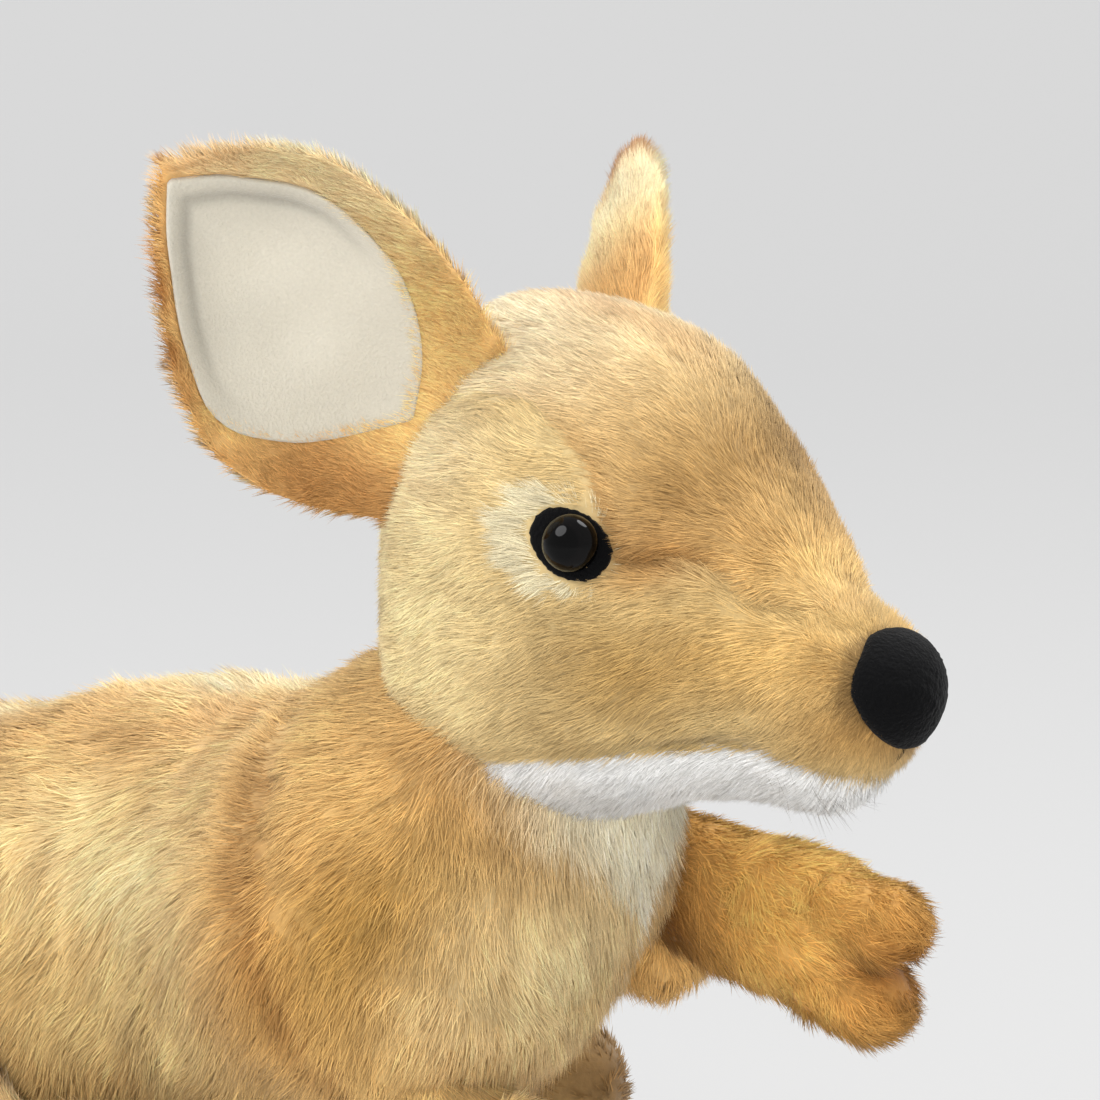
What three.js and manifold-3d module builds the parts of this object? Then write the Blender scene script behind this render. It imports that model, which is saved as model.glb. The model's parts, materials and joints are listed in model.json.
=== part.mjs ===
import * as THREE from "three";
import { mergeVertices } from "three/addons/utils/BufferGeometryUtils.js";
import Module from "manifold-3d";

// A stuffed kangaroo, in millimetres and degrees. X runs to the nose, Y to its left, Z up from the floor.

// Cloth, felt, the gap that is left at every seam and the play of the neck and tail in their sockets.
const plushBacking = 2.4;
const feltThickness = 1;
const patchThickness = 1.6;
const seamGap = 0.3;
const socketPlay = 0.9;

// The skull's middle carries the head, and the neck leans forward from its pivot.
const skullForward = 118;
const skullHeight = 203;
const neckLean = 50;
const neckPivotForward = 95;
const neckPivotHeight = 135;
const neckRadius = 37;
const creaseBeyondPivot = 29;

// Half widths and heights of each form, at stations along its middle line.
const headOutline = [
  { forward: -38, height: -14, halfWidth: 32, rise: 51, drop: 47 },
  { forward: -18, height: -14, halfWidth: 35, rise: 54, drop: 53 },
  { forward: 2, height: -15, halfWidth: 36, rise: 54, drop: 54 },
  { forward: 22, height: -17, halfWidth: 35, rise: 50, drop: 51 },
  { forward: 44, height: -23, halfWidth: 29, rise: 33, drop: 40 },
  { forward: 66, height: -31, halfWidth: 20, rise: 18, drop: 28 },
  { forward: 88, height: -35, halfWidth: 15, rise: 13.5, drop: 20 },
];
const headBackCap = 36;
const snoutCap = 17;

const trunkOutline = [
  { forward: -128, height: 80, halfWidth: 44, rise: 43, drop: 40 },
  { forward: -90, height: 88, halfWidth: 50, rise: 48, drop: 44 },
  { forward: -45, height: 92, halfWidth: 53, rise: 51, drop: 46 },
  { forward: 0, height: 94, halfWidth: 51, rise: 57, drop: 46 },
  { forward: 42, height: 100, halfWidth: 46, rise: 55, drop: 46 },
  { forward: 76, height: 116, halfWidth: 41, rise: 45, drop: 42 },
];
const trunkPastNeck = 12;
const rumpCap = 60;
const trunkEndCap = 8;
const hipSeat = 46;
const shoulderSeat = 36;

// Arms run from the shoulder pivot, tilted down by their side's angle, with the paw turned a little inwards.
const shoulderForward = 98;
const shoulderHeight = 118;
const armTilts = { left: 12, right: 38 };
const armOutline = [
  { along: -16, out: 12, halfWidth: 15, rise: 18, drop: 20 },
  { along: 0, out: 13, halfWidth: 16, rise: 20, drop: 21 },
  { along: 28, out: 12, halfWidth: 16, rise: 20, drop: 20 },
  { along: 52, out: 9, halfWidth: 15, rise: 19, drop: 19 },
  { along: 71, out: 6, halfWidth: 14, rise: 18, drop: 18 },
];
const armRootCap = 18;
const pawCap = 18;
const armClearRadius = 30;
const toeRadius = 9;
const toeReach = 2;
const toeSpread = 8;

// Hind legs: a haunch on the hip seat and a long foot under it.
const hipForward = -40;
const hipHeight = 84;
const haunchOutline = [
  { along: -44, rise: 34, drop: 56, out: 16, halfWidth: 19 },
  { along: 0, rise: 24, drop: 64, out: 18, halfWidth: 21 },
  { along: 50, rise: -8, drop: 60, out: 18, halfWidth: 20 },
  { along: 95, rise: -10, drop: 49, out: 16, halfWidth: 18 },
  { along: 128, rise: -8, drop: 42, out: 15, halfWidth: 16 },
];
const haunchBackCap = 45;
const kneeCap = 24;
const footOutline = [
  { forward: -58, height: 13, halfWidth: 15, rise: 16, drop: 18 },
  { forward: -20, height: 13, halfWidth: 16, rise: 16, drop: 18 },
  { forward: 30, height: 12, halfWidth: 17, rise: 14, drop: 17 },
  { forward: 92, height: 11, halfWidth: 16, rise: 11, drop: 15 },
];
const footOut = 20;
const heelCap = 20;
const footToeCap = 22;

// The tail turns on a ball that sits in the rump.
const tailPivotForward = -116;
const tailPivotHeight = 82;
const tailRootRadius = 30;
const tailOutline = [
  { forward: -150, height: 64, radius: 28 },
  { forward: -190, height: 38, radius: 22 },
  { forward: -235, height: 17, radius: 17.3 },
  { forward: -285, height: 11, radius: 12 },
];
const tailTipCap = 16;

// Ears: a cupped leaf on a rolled root seam.
const earOutline = [
  { along: 0, halfWidth: 18 },
  { along: 12, halfWidth: 26 },
  { along: 28, halfWidth: 32 },
  { along: 45, halfWidth: 31 },
  { along: 62, halfWidth: 23 },
  { along: 78, halfWidth: 3 },
];
const earCup = 14;
const earCupBalance = 0.6;
const earThickness = 4.4;
const earRollRadius = 4.5;
const earGrooveMargin = 3;
const earLiningInset = 7;
const earLiningStart = 11;
const earLiningThickness = 1.4;
const earLiningLift = 1.5;
const earBackShare = -0.43;
const earOutShare = 0.6;
const earUpShare = 0.675;
const earFaces = {
  left: { forward: 0.8, out: 0.6 },
  right: { forward: 0.52, out: 0.85 },
};
const earRootTravel = 32;
const earRootAngle = 27;

// Face, placed by travel along the head's middle line and by the angle round it.
const eyeTravel = 64.5;
const eyeAngle = 16;
const eyeRadius = 5.4;
const eyeDome = 4.6;
const eyeFlange = 0.8;
const shankRadius = 1.6;
const shankLength = 12;
const washerRadius = 6;
const washerThickness = 1.2;
const facetAllowance = 2;
const rimPoint = 4.2;
const rimBorder = 1.2;
const rimTilt = 4;
const rimSharpness = 1.5;
const patchBorder = 4.6;
const patchSharpness = 1;
const patchShiftBack = 4;
const trimDepth = 12;
const noseHalfWidth = 10.5;
const noseRise = 9.5;
const noseFall = 11;
const noseTaper = 0.35;
const noseHeight = -32;
const noseDepth = 15;
const stitchWidth = 1.1;
const stitchLength = 6;

// Seam lines in side view, from back to front, as forward and height from the skull or the floor.
const gussetSeam = [
  [-60, -12],
  [-26, 10],
  [0, 21],
  [17, 18],
  [33, 8],
  [42, -5],
  [50, -14],
  [60, -15],
  [100, -28],
];
const chinSeam = [
  [-40, -62],
  [-6, -57],
  [14, -53],
  [40, -49],
  [63, -45],
  [78, -47],
  [100, -50],
];
const bellySeam = [
  [-160, 66],
  [-60, 68],
  [20, 70],
  [66, 84],
  [98, 112],
  [140, 150],
];
const shoulderSeamForward = 82;
const regionReach = 400;

// How finely each form is faceted.
const headSides = 14;
const headRings = 8;
const bodySides = 14;
const bodyRings = 8;
const limbSides = 10;
const limbRings = 6;
const roundSegments = 10;
const socketSegments = 16;
const neckSteps = 4;
const toeSegments = 6;
const domeSteps = 5;
const earRows = 6;
const earColumns = 4;
const probeTravel = 1;
const probeAngle = 0.02;
const sliverVolume = 0.001;

// Colours of the cloth and trim.
const finishes = {
  tanPlush: { color: 0xd8ad69, roughness: 0.95, metalness: 0 },
  creamPlush: { color: 0xeee0ba, roughness: 0.95, metalness: 0 },
  whitePlush: { color: 0xf1efea, roughness: 0.95, metalness: 0 },
  lining: { color: 0xece4d2, roughness: 0.9, metalness: 0 },
  blackFelt: { color: 0x151413, roughness: 0.95, metalness: 0 },
  blackEye: { color: 0x0a0909, roughness: 0.08, metalness: 0 },
  washer: { color: 0xe8e8e4, roughness: 0.5, metalness: 0 },
  filling: { color: 0xf4f2ec, roughness: 1, metalness: 0 },
};

const wasm = await Module();
wasm.setup();
const sideSigns = { left: 1, right: -1 };
const ahead = new THREE.Vector3(1, 0, 0);
const behind = new THREE.Vector3(-1, 0, 0);
const left = new THREE.Vector3(0, 1, 0);
const right = new THREE.Vector3(0, -1, 0);
const up = new THREE.Vector3(0, 0, 1);
const down = new THREE.Vector3(0, 0, -1);
const toRadians = THREE.MathUtils.degToRad;

// Closed geometry becomes a solid once only its positions are left and shared corners are merged.
function solidOf(geometry) {
  const bare = new THREE.BufferGeometry();
  bare.setAttribute("position", geometry.getAttribute("position"));
  bare.setIndex(geometry.getIndex());
  const merged = mergeVertices(bare, 1e-4);
  const triVerts = new Uint32Array(merged.getIndex().array);
  const vertProperties = new Float32Array(merged.getAttribute("position").array);
  return new wasm.Manifold(new wasm.Mesh({ numProp: 3, vertProperties, triVerts }));
}

// A named mesh from a solid, in one of the finishes, without the flat slivers that cuts leave.
function addPiece(group, name, solid, finish) {
  const bodies = solid.decompose().filter((body) => body.volume() > sliverVolume);
  const made = bodies.reduce((whole, body) => whole.add(body)).getMesh();
  const geometry = new THREE.BufferGeometry();
  geometry.setAttribute("position", new THREE.BufferAttribute(new Float32Array(made.vertProperties), 3));
  geometry.setIndex(new THREE.BufferAttribute(new Uint32Array(made.triVerts), 1));
  const mesh = new THREE.Mesh(geometry, new THREE.MeshStandardMaterial(finishes[finish]));
  mesh.name = name;
  group.add(mesh);
}

// A form holds a middle line and the girth along it: half width, rise and drop.
function makeForm(stations, startCap, endCap, sides, rings) {
  const middles = stations.map((s) => new THREE.Vector3(s.forward, s.side ?? 0, s.height));
  const girths = stations.map((s) => new THREE.Vector3(s.halfWidth, s.rise, s.drop));
  const spine = new THREE.CatmullRomCurve3(middles, false, "catmullrom", 0.5);
  const girth = new THREE.CatmullRomCurve3(girths, false, "catmullrom", 0.5);
  return { spine, girth, length: spine.getLength(), startCap, endCap, sides, rings };
}

// A station with the same girth all round.
function roundStation(point, radius) {
  return { forward: point.x, height: point.z, halfWidth: radius, rise: radius, drop: radius };
}

// The middle line at a travel in millimetres, carried straight on past either end.
function spineAt(form, travel) {
  const held = THREE.MathUtils.clamp(travel, 0, form.length);
  const share = form.spine.getUtoTmapping(held / form.length);
  const along = form.spine.getTangent(share);
  const middle = form.spine.getPoint(share).addScaledVector(along, travel - held);
  const across = left.clone().addScaledVector(along, -along.y).normalize();
  return { middle, along, across, upward: along.clone().cross(across), girth: form.girth.getPoint(share) };
}

// Each end is rounded off like a quarter of an ellipse over its cap.
function capShare(form, travel, inset) {
  const start = (form.startCap - travel) / (form.startCap - inset);
  const end = (form.endCap - (form.length - travel)) / (form.endCap - inset);
  const past = Math.min(Math.max(start, end, 0), 1);
  return Math.sqrt(1 - past * past);
}

// A point on the skin, or under it by the inset. The angle is 0 on the left side and 90 on top.
function skinPoint(form, travel, angle, inset = 0) {
  const at = spineAt(form, travel);
  const share = capShare(form, travel, inset);
  const height = Math.sin(angle) > 0 ? at.girth.y : at.girth.z;
  return at.middle
    .addScaledVector(at.across, Math.cos(angle) * (at.girth.x - inset) * share)
    .addScaledVector(at.upward, Math.sin(angle) * (height - inset) * share);
}

// The whole closed skin of a form as a solid.
function stuffedSolid(form, inset = 0) {
  const points = [];
  const triangles = [];
  const travelSpan = form.length - 2 * inset;
  for (let ring = 1; ring < form.rings; ring++) {
    const travel = inset + (travelSpan * (1 - Math.cos((Math.PI * ring) / form.rings))) / 2;
    for (let side = 0; side < form.sides; side++) {
      points.push(...skinPoint(form, travel, (2 * Math.PI * side) / form.sides, inset).toArray());
    }
  }
  const startPole = points.length / 3;
  points.push(...spineAt(form, inset).middle.toArray());
  points.push(...spineAt(form, form.length - inset).middle.toArray());
  const lastRing = (form.rings - 2) * form.sides;
  for (let side = 0; side < form.sides; side++) {
    const next = (side + 1) % form.sides;
    triangles.push(startPole, next, side);
    triangles.push(startPole + 1, lastRing + side, lastRing + next);
    for (let start = 0; start < lastRing; start += form.sides) {
      triangles.push(start + side, start + next, start + form.sides + side);
      triangles.push(start + next, start + form.sides + next, start + form.sides + side);
    }
  }
  const geometry = new THREE.BufferGeometry();
  geometry.setAttribute("position", new THREE.BufferAttribute(new Float32Array(points), 3));
  geometry.setIndex(triangles);
  return solidOf(geometry);
}

// Cutting shapes.
function ball(centre, radius, segments) {
  const geometry = new THREE.SphereGeometry(radius, segments, segments / 2);
  return solidOf(geometry.rotateX(Math.PI / 2).translate(centre.x, centre.y, centre.z));
}

function rod(from, to, radius) {
  const reach = to.clone().sub(from);
  const geometry = new THREE.CylinderGeometry(radius, radius, reach.length(), roundSegments);
  const turn = new THREE.Quaternion().setFromUnitVectors(left, reach.clone().normalize());
  const middle = from.clone().add(to).divideScalar(2);
  return solidOf(geometry.applyQuaternion(turn).translate(middle.x, middle.y, middle.z));
}

// Everything on the far side of a plane, out to the region reach.
function beyondPlane(point, normal) {
  const geometry = new THREE.BoxGeometry(2 * regionReach, 2 * regionReach, 2 * regionReach);
  const turn = new THREE.Quaternion().setFromUnitVectors(up, normal);
  const middle = point.clone().addScaledVector(normal, regionReach);
  return solidOf(geometry.applyQuaternion(turn).translate(middle.x, middle.y, middle.z));
}

// A side-view region: everything below a seam line, across the whole width.
function belowSeam(seam, forward, height, shift) {
  const shape = new THREE.Shape();
  shape.moveTo(seam[0][0] - regionReach, -regionReach);
  shape.lineTo(seam[0][0] - regionReach, seam[0][1] + shift);
  seam.forEach(([x, z]) => shape.lineTo(x, z + shift));
  shape.lineTo(seam.at(-1)[0] + regionReach, seam.at(-1)[1] + shift);
  shape.lineTo(seam.at(-1)[0] + regionReach, -regionReach);
  const geometry = new THREE.ExtrudeGeometry(shape, { depth: 2 * regionReach, bevelEnabled: false });
  return solidOf(geometry.rotateX(Math.PI / 2).translate(forward, regionReach, height));
}

// A prism with a closed outline, along an axis, with its outline's second direction near the given one.
function prism(outline, centre, axis, upward, depth) {
  const shape = new THREE.Shape(outline.map(([x, y]) => new THREE.Vector2(x, y)));
  const geometry = new THREE.ExtrudeGeometry(shape, { depth: 2 * depth, bevelEnabled: false });
  const across = upward.clone().cross(axis).normalize();
  const frame = new THREE.Matrix4().makeBasis(across, axis.clone().cross(across), axis);
  geometry.translate(0, 0, -depth).applyMatrix4(frame).translate(centre.x, centre.y, centre.z);
  return solidOf(geometry);
}

// A round outline that may be drawn out to points along its first direction.
function almond(halfLength, halfHeight, sharpness, count) {
  return Array.from({ length: count }, (_, index) => {
    const turn = (2 * Math.PI * index) / count;
    const lift = Math.sign(Math.sin(turn)) * Math.abs(Math.sin(turn)) ** sharpness;
    return [halfLength * Math.cos(turn), halfHeight * lift];
  });
}

const leftHalf = beyondPlane(left.clone().multiplyScalar(seamGap / 2), left);
const rightHalf = beyondPlane(right.clone().multiplyScalar(seamGap / 2), right);
const halves = { left: leftHalf, right: rightHalf };
const floor = beyondPlane(new THREE.Vector3(0, 0, 0), down);

// Neck: a dome about its pivot, with a plush collar up to the crease under the head.
const neckAxis = new THREE.Vector3(Math.cos(toRadians(neckLean)), 0, Math.sin(toRadians(neckLean)));
const neckPivot = new THREE.Vector3(neckPivotForward, 0, neckPivotHeight);
const creasePoint = neckPivot.clone().addScaledVector(neckAxis, creaseBeyondPivot);
const neckTurn = new THREE.Quaternion().setFromUnitVectors(left, neckAxis);

function neckArc(radius, from, to) {
  const start = Math.asin(from / radius);
  const end = Math.asin(to / radius);
  return Array.from({ length: neckSteps + 1 }, (_, index) => {
    const turn = THREE.MathUtils.lerp(start, end, index / neckSteps);
    return new THREE.Vector2(radius * Math.cos(turn), radius * Math.sin(turn));
  });
}

function neckLathe(profile) {
  const geometry = new THREE.LatheGeometry(profile, socketSegments);
  return solidOf(geometry.applyQuaternion(neckTurn).translate(neckPivot.x, neckPivot.y, neckPivot.z));
}

const neckInside = neckRadius - plushBacking - seamGap;
const neckFloor = seamGap / 2;

function neckDome(radius, from) {
  const dome = neckArc(radius, from, radius);
  dome.at(-1).x = 0;
  return dome;
}

const neckFilling = neckLathe([
  new THREE.Vector2(0, neckFloor),
  ...neckArc(neckInside, neckFloor, creaseBeyondPivot + seamGap),
  ...neckDome(neckRadius, creaseBeyondPivot + seamGap),
]);
const collarOuter = neckArc(neckRadius, neckFloor, creaseBeyondPivot);
const collarInner = neckArc(neckRadius - plushBacking, neckFloor, creaseBeyondPivot).reverse();
const neckCollar = neckLathe([...collarOuter, ...collarInner, collarOuter[0].clone()]);

// Tail: a long taper from the ball in the rump to the floor behind.
const tailPivot = new THREE.Vector3(tailPivotForward, 0, tailPivotHeight);
const tailPoints = tailOutline.map((s) => new THREE.Vector3(s.forward, 0, s.height));
const tailRootLine = tailPivot.clone().sub(tailPoints[0]).normalize();
const tailStations = [
  roundStation(tailPivot.clone().addScaledVector(tailRootLine, tailRootRadius), tailRootRadius),
  roundStation(tailPivot, tailRootRadius),
  ...tailPoints.map((point, index) => roundStation(point, tailOutline[index].radius)),
];
const tailForm = makeForm(tailStations, tailRootRadius, tailTipCap, limbSides, limbRings);
const tailSocket = ball(tailPivot, tailRootRadius + socketPlay, socketSegments);

// Trunk: one bag from the rump to the neck, flat where the limbs are sewn on.
const pastNeck = neckPivot.clone().addScaledVector(neckAxis, trunkPastNeck);
const neckStations = [roundStation(neckPivot, neckRadius), roundStation(pastNeck, neckRadius)];
const trunkStations = [...trunkOutline, ...neckStations];
const trunkForm = makeForm(trunkStations, rumpCap, trunkEndCap, bodySides, bodyRings);
const neckBase = neckPivot.clone().addScaledVector(neckAxis, -seamGap / 2);
const beyondNeck = beyondPlane(neckBase, neckAxis);

function trunkBag(inset) {
  let bag = stuffedSolid(trunkForm, inset);
  for (const sign of Object.values(sideSigns)) {
    const outward = new THREE.Vector3(0, sign, 0);
    bag = bag.subtract(beyondPlane(new THREE.Vector3(0, sign * (hipSeat - inset), 0), outward));
    bag = bag.subtract(besideShoulder(sign, shoulderSeat - inset, regionReach));
  }
  return bag;
}

// The round room beside a shoulder, between two distances from the middle plane.
function besideShoulder(sign, near, far) {
  const inner = new THREE.Vector3(shoulderForward, sign * near, shoulderHeight);
  const outer = new THREE.Vector3(shoulderForward, sign * far, shoulderHeight);
  return rod(inner, outer, armClearRadius);
}

function openTrunk(solid) {
  return solid.subtract(beyondNeck).subtract(tailSocket);
}

const trunkShell = openTrunk(trunkBag(0).subtract(trunkBag(plushBacking)));
const trunkFilling = openTrunk(trunkBag(plushBacking + seamGap));
const belly = belowSeam(bellySeam, 0, 0, 0);
const bellyAndGap = belowSeam(bellySeam, 0, 0, seamGap);
const shoulderSeam = new THREE.Vector3(shoulderSeamForward, 0, 0);
const aheadOfSeam = beyondPlane(shoulderSeam, ahead);
const behindSeam = beyondPlane(shoulderSeam.clone().setX(shoulderSeamForward - seamGap), behind);

// Head: a pear from the nape to the snout, seated on the neck's dome behind the crease.
const headForm = makeForm(
  headOutline.map((s) => ({ ...s, forward: skullForward + s.forward, height: skullHeight + s.height })),
  headBackCap,
  snoutCap,
  headSides,
  headRings,
);
const neckSocket = neckLathe([
  new THREE.Vector2(0, creaseBeyondPivot),
  ...neckDome(neckRadius + socketPlay, creaseBeyondPivot),
]);
const creaseTop = creasePoint.clone().addScaledVector(neckAxis, seamGap);
const behindCrease = beyondPlane(creaseTop, neckAxis.clone().negate());

// The frame of a point on the head's skin: its place, its outward normal and the way forward along the head.
function headSpot(travel, angle) {
  const place = skinPoint(headForm, travel, angle);
  const aheadOnSkin = skinPoint(headForm, travel + probeTravel, angle);
  const forward = aheadOnSkin.sub(skinPoint(headForm, travel - probeTravel, angle)).normalize();
  const furtherRound = skinPoint(headForm, travel, angle + probeAngle);
  const round = furtherRound.sub(skinPoint(headForm, travel, angle - probeAngle));
  return { place, forward, normal: round.cross(forward).normalize() };
}

function mirroredAngle(degrees, sign) {
  return toRadians(sign > 0 ? degrees : 180 - degrees);
}

// Ears: frames first, because the head is grooved for their root rolls.
function earFrame(side) {
  const sign = sideSigns[side];
  const root = headSpot(earRootTravel, mirroredAngle(earRootAngle, sign)).place;
  const along = new THREE.Vector3(earBackShare, sign * earOutShare, earUpShare).normalize();
  const face = new THREE.Vector3(earFaces[side].forward, sign * earFaces[side].out, 0);
  face.addScaledVector(along, -face.dot(along)).normalize();
  const across = face.clone().cross(along);
  return { root, along, face, across };
}

const earLength = earOutline.at(-1).along;
const earWidths = new THREE.CubicInterpolant(
  earOutline.map((s) => s.along),
  earOutline.map((s) => s.halfWidth),
  1,
);

function earRoll(frame, clearance, margin) {
  const reach = earOutline[0].halfWidth + margin;
  const from = frame.root.clone().addScaledVector(frame.across, -reach);
  const to = frame.root.clone().addScaledVector(frame.across, reach);
  return rod(from, to, earRollRadius + clearance);
}

// A cupped sheet between two offsets along the ear's face, over a stretch of its length.
function earSheet(frame, edgeInset, from, to, low, high) {
  const grid = (offset) => {
    const points = [];
    for (let row = 0; row <= earRows; row++) {
      const along = THREE.MathUtils.lerp(from, to, row / earRows);
      const halfWidth = earWidths.evaluate(along)[0];
      const depth = earCup * Math.sin((Math.PI * along) / earLength);
      for (let column = 0; column <= earColumns; column++) {
        const reach = ((2 * column) / earColumns - 1) * (halfWidth - edgeInset);
        const cup = depth * ((reach / halfWidth) ** 2 - earCupBalance);
        const point = frame.root.clone().addScaledVector(frame.along, along);
        point.addScaledVector(frame.across, reach).addScaledVector(frame.face, cup + offset);
        points.push(point);
      }
    }
    return points;
  };
  const corners = [...grid(high), ...grid(low)];
  const lowStart = corners.length / 2;
  const triangles = [];
  const quad = (a, b, c, d) => triangles.push(a, b, c, a, c, d);
  const top = (row, column) => row * (earColumns + 1) + column;
  const under = (row, column) => lowStart + top(row, column);
  for (let row = 0; row < earRows; row++) {
    for (let column = 0; column < earColumns; column++) {
      quad(top(row, column), top(row + 1, column), top(row + 1, column + 1), top(row, column + 1));
      quad(under(row, column), under(row, column + 1), under(row + 1, column + 1), under(row + 1, column));
    }
    quad(under(row, 0), under(row + 1, 0), top(row + 1, 0), top(row, 0));
    quad(top(row, earColumns), top(row + 1, earColumns), under(row + 1, earColumns), under(row, earColumns));
  }
  for (let column = 0; column < earColumns; column++) {
    quad(top(0, column), top(0, column + 1), under(0, column + 1), under(0, column));
    quad(under(earRows, column), under(earRows, column + 1), top(earRows, column + 1), top(earRows, column));
  }
  const geometry = new THREE.BufferGeometry().setFromPoints(corners);
  geometry.setIndex(triangles);
  return solidOf(geometry);
}

const earFrames = { left: earFrame("left"), right: earFrame("right") };

function openHead(solid) {
  let opened = solid.subtract(neckSocket).subtract(behindCrease);
  for (const frame of Object.values(earFrames)) {
    opened = opened.subtract(earRoll(frame, seamGap, earGrooveMargin));
  }
  return opened;
}

// Eyes: frames and the holes that their shanks and washers need.
const rimBase = seamGap + patchThickness + seamGap;
const eyeBase = rimBase + feltThickness + seamGap;

function eyeSpot(sign) {
  return headSpot(eyeTravel, mirroredAngle(eyeAngle, sign));
}

function eyeSolid(spot, clearance) {
  const top = eyeBase + eyeFlange;
  const dome = Array.from({ length: domeSteps + 1 }, (_, index) => {
    const turn = (Math.PI / 2) * (index / domeSteps);
    return new THREE.Vector2(eyeRadius * Math.cos(turn), top + eyeDome * Math.sin(turn));
  });
  dome[dome.length - 1].x = 0;
  const profile = [
    new THREE.Vector2(0, eyeBase - shankLength - clearance),
    new THREE.Vector2(shankRadius + clearance, eyeBase - shankLength - clearance),
    new THREE.Vector2(shankRadius + clearance, eyeBase - clearance),
    new THREE.Vector2(eyeRadius, eyeBase - clearance),
    ...dome,
  ];
  const turn = new THREE.Quaternion().setFromUnitVectors(left, spot.normal);
  const geometry = new THREE.LatheGeometry(profile, roundSegments).applyQuaternion(turn);
  return solidOf(geometry.translate(spot.place.x, spot.place.y, spot.place.z));
}

// The washer lies under the cheek's backing, clear of its facets and of the curve that falls away across it.
const cheekRadius = headOutline[3].halfWidth;
const cheekFall = cheekRadius - Math.sqrt(cheekRadius ** 2 - washerRadius ** 2);
const washerTop = plushBacking + 2 * seamGap + cheekFall + facetAllowance;

function washerSolid(spot, clearance) {
  const top = spot.place.clone().addScaledVector(spot.normal, clearance - washerTop);
  const bottom = spot.place.clone().addScaledVector(spot.normal, -washerTop - washerThickness - clearance);
  return rod(bottom, top, washerRadius + clearance);
}

// Trim that lies on the head's skin: the layer between two heights, inside a prism.
function trimOnHead(low, high, outlinePrism) {
  return stuffedSolid(headForm, -high).subtract(stuffedSolid(headForm, -low)).intersect(outlinePrism);
}

const headBag = stuffedSolid(headForm);
const headShell = openHead(headBag.subtract(stuffedSolid(headForm, plushBacking)));
const belowGusset = belowSeam(gussetSeam, skullForward, skullHeight, -seamGap / 2);
const gussetGap = belowSeam(gussetSeam, skullForward, skullHeight, seamGap / 2);
const chinRegion = belowSeam(chinSeam, skullForward, skullHeight, -seamGap / 2);
const chinAndGap = belowSeam(chinSeam, skullForward, skullHeight, seamGap / 2);
const rimHalfLength = eyeRadius + rimPoint;
const rimHalfHeight = eyeRadius + rimBorder;
const rimOutline = almond(rimHalfLength, rimHalfHeight, rimSharpness, roundSegments);
const patchHalfLength = rimHalfLength + patchBorder;
const patchHalfHeight = rimHalfHeight + patchBorder;
const patchOutline = almond(patchHalfLength, patchHalfHeight, patchSharpness, roundSegments);

const head = new THREE.Group();
let headFilling = openHead(stuffedSolid(headForm, plushBacking + seamGap));
let cheeks = headShell.intersect(belowGusset).subtract(chinAndGap);
for (const [side, sign] of Object.entries(sideSigns)) {
  const spot = eyeSpot(sign);
  const eye = eyeSolid(spot, 0);
  const eyeRoom = eyeSolid(spot, seamGap);
  const washer = washerSolid(spot, 0).subtract(eyeRoom);
  headFilling = headFilling.subtract(eyeRoom).subtract(washerSolid(spot, seamGap));
  cheeks = cheeks.subtract(eyeRoom);
  const forward = spot.forward.clone().applyAxisAngle(spot.normal, sign * toRadians(rimTilt));
  const upward = forward.clone().cross(spot.normal).multiplyScalar(sign);
  const patchPlace = spot.place.clone().addScaledVector(forward, -patchShiftBack);
  const patchPrism = prism(patchOutline, patchPlace, spot.normal, upward, trimDepth);
  const rimPrism = prism(rimOutline, spot.place, spot.normal, upward, trimDepth);
  const patch = trimOnHead(seamGap, seamGap + patchThickness, patchPrism).subtract(eyeRoom);
  const rim = trimOnHead(rimBase, rimBase + feltThickness, rimPrism).subtract(eyeRoom);
  addPiece(head, `eye_${side}`, eye, "blackEye");
  addPiece(head, `eye_washer_${side}`, washer, "washer");
  addPiece(head, `eye_rim_${side}`, rim, "blackFelt");
  addPiece(head, `eye_patch_${side}`, patch, "creamPlush");
}
addPiece(head, "head_filling", headFilling, "filling");
addPiece(head, "head_gusset", headShell.subtract(gussetGap), "tanPlush");
addPiece(head, "cheek_left", cheeks.intersect(leftHalf), "tanPlush");
addPiece(head, "cheek_right", cheeks.intersect(rightHalf), "tanPlush");
addPiece(head, "chin_panel", headShell.intersect(chinRegion), "whitePlush");

// Nose pad and mouth stitch on the end of the snout.
const noseOutline = Array.from({ length: roundSegments }, (_, index) => {
  const turn = (2 * Math.PI * index) / roundSegments;
  const lift = Math.sin(turn);
  const narrowing = 1 + noseTaper * Math.min(lift, 0);
  return [noseHalfWidth * narrowing * Math.cos(turn), lift > 0 ? noseRise * lift : noseFall * lift];
});
const snoutTip = new THREE.Vector3(skullForward + headOutline.at(-1).forward, 0, skullHeight + noseHeight);
const nosePrism = prism(noseOutline, snoutTip, ahead, up, noseDepth);
addPiece(head, "nose_pad", trimOnHead(seamGap, seamGap + patchThickness, nosePrism), "blackFelt");
const stitchTop = snoutTip.clone().addScaledVector(up, -noseFall - seamGap - stitchLength / 2);
const stitchOutline = [
  [-stitchWidth / 2, -stitchLength / 2],
  [stitchWidth / 2, -stitchLength / 2],
  [stitchWidth / 2, stitchLength / 2],
  [-stitchWidth / 2, stitchLength / 2],
];
const stitchPrism = prism(stitchOutline, stitchTop, ahead, up, noseDepth);
addPiece(head, "mouth_stitch", trimOnHead(seamGap, seamGap + feltThickness, stitchPrism), "blackFelt");

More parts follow.
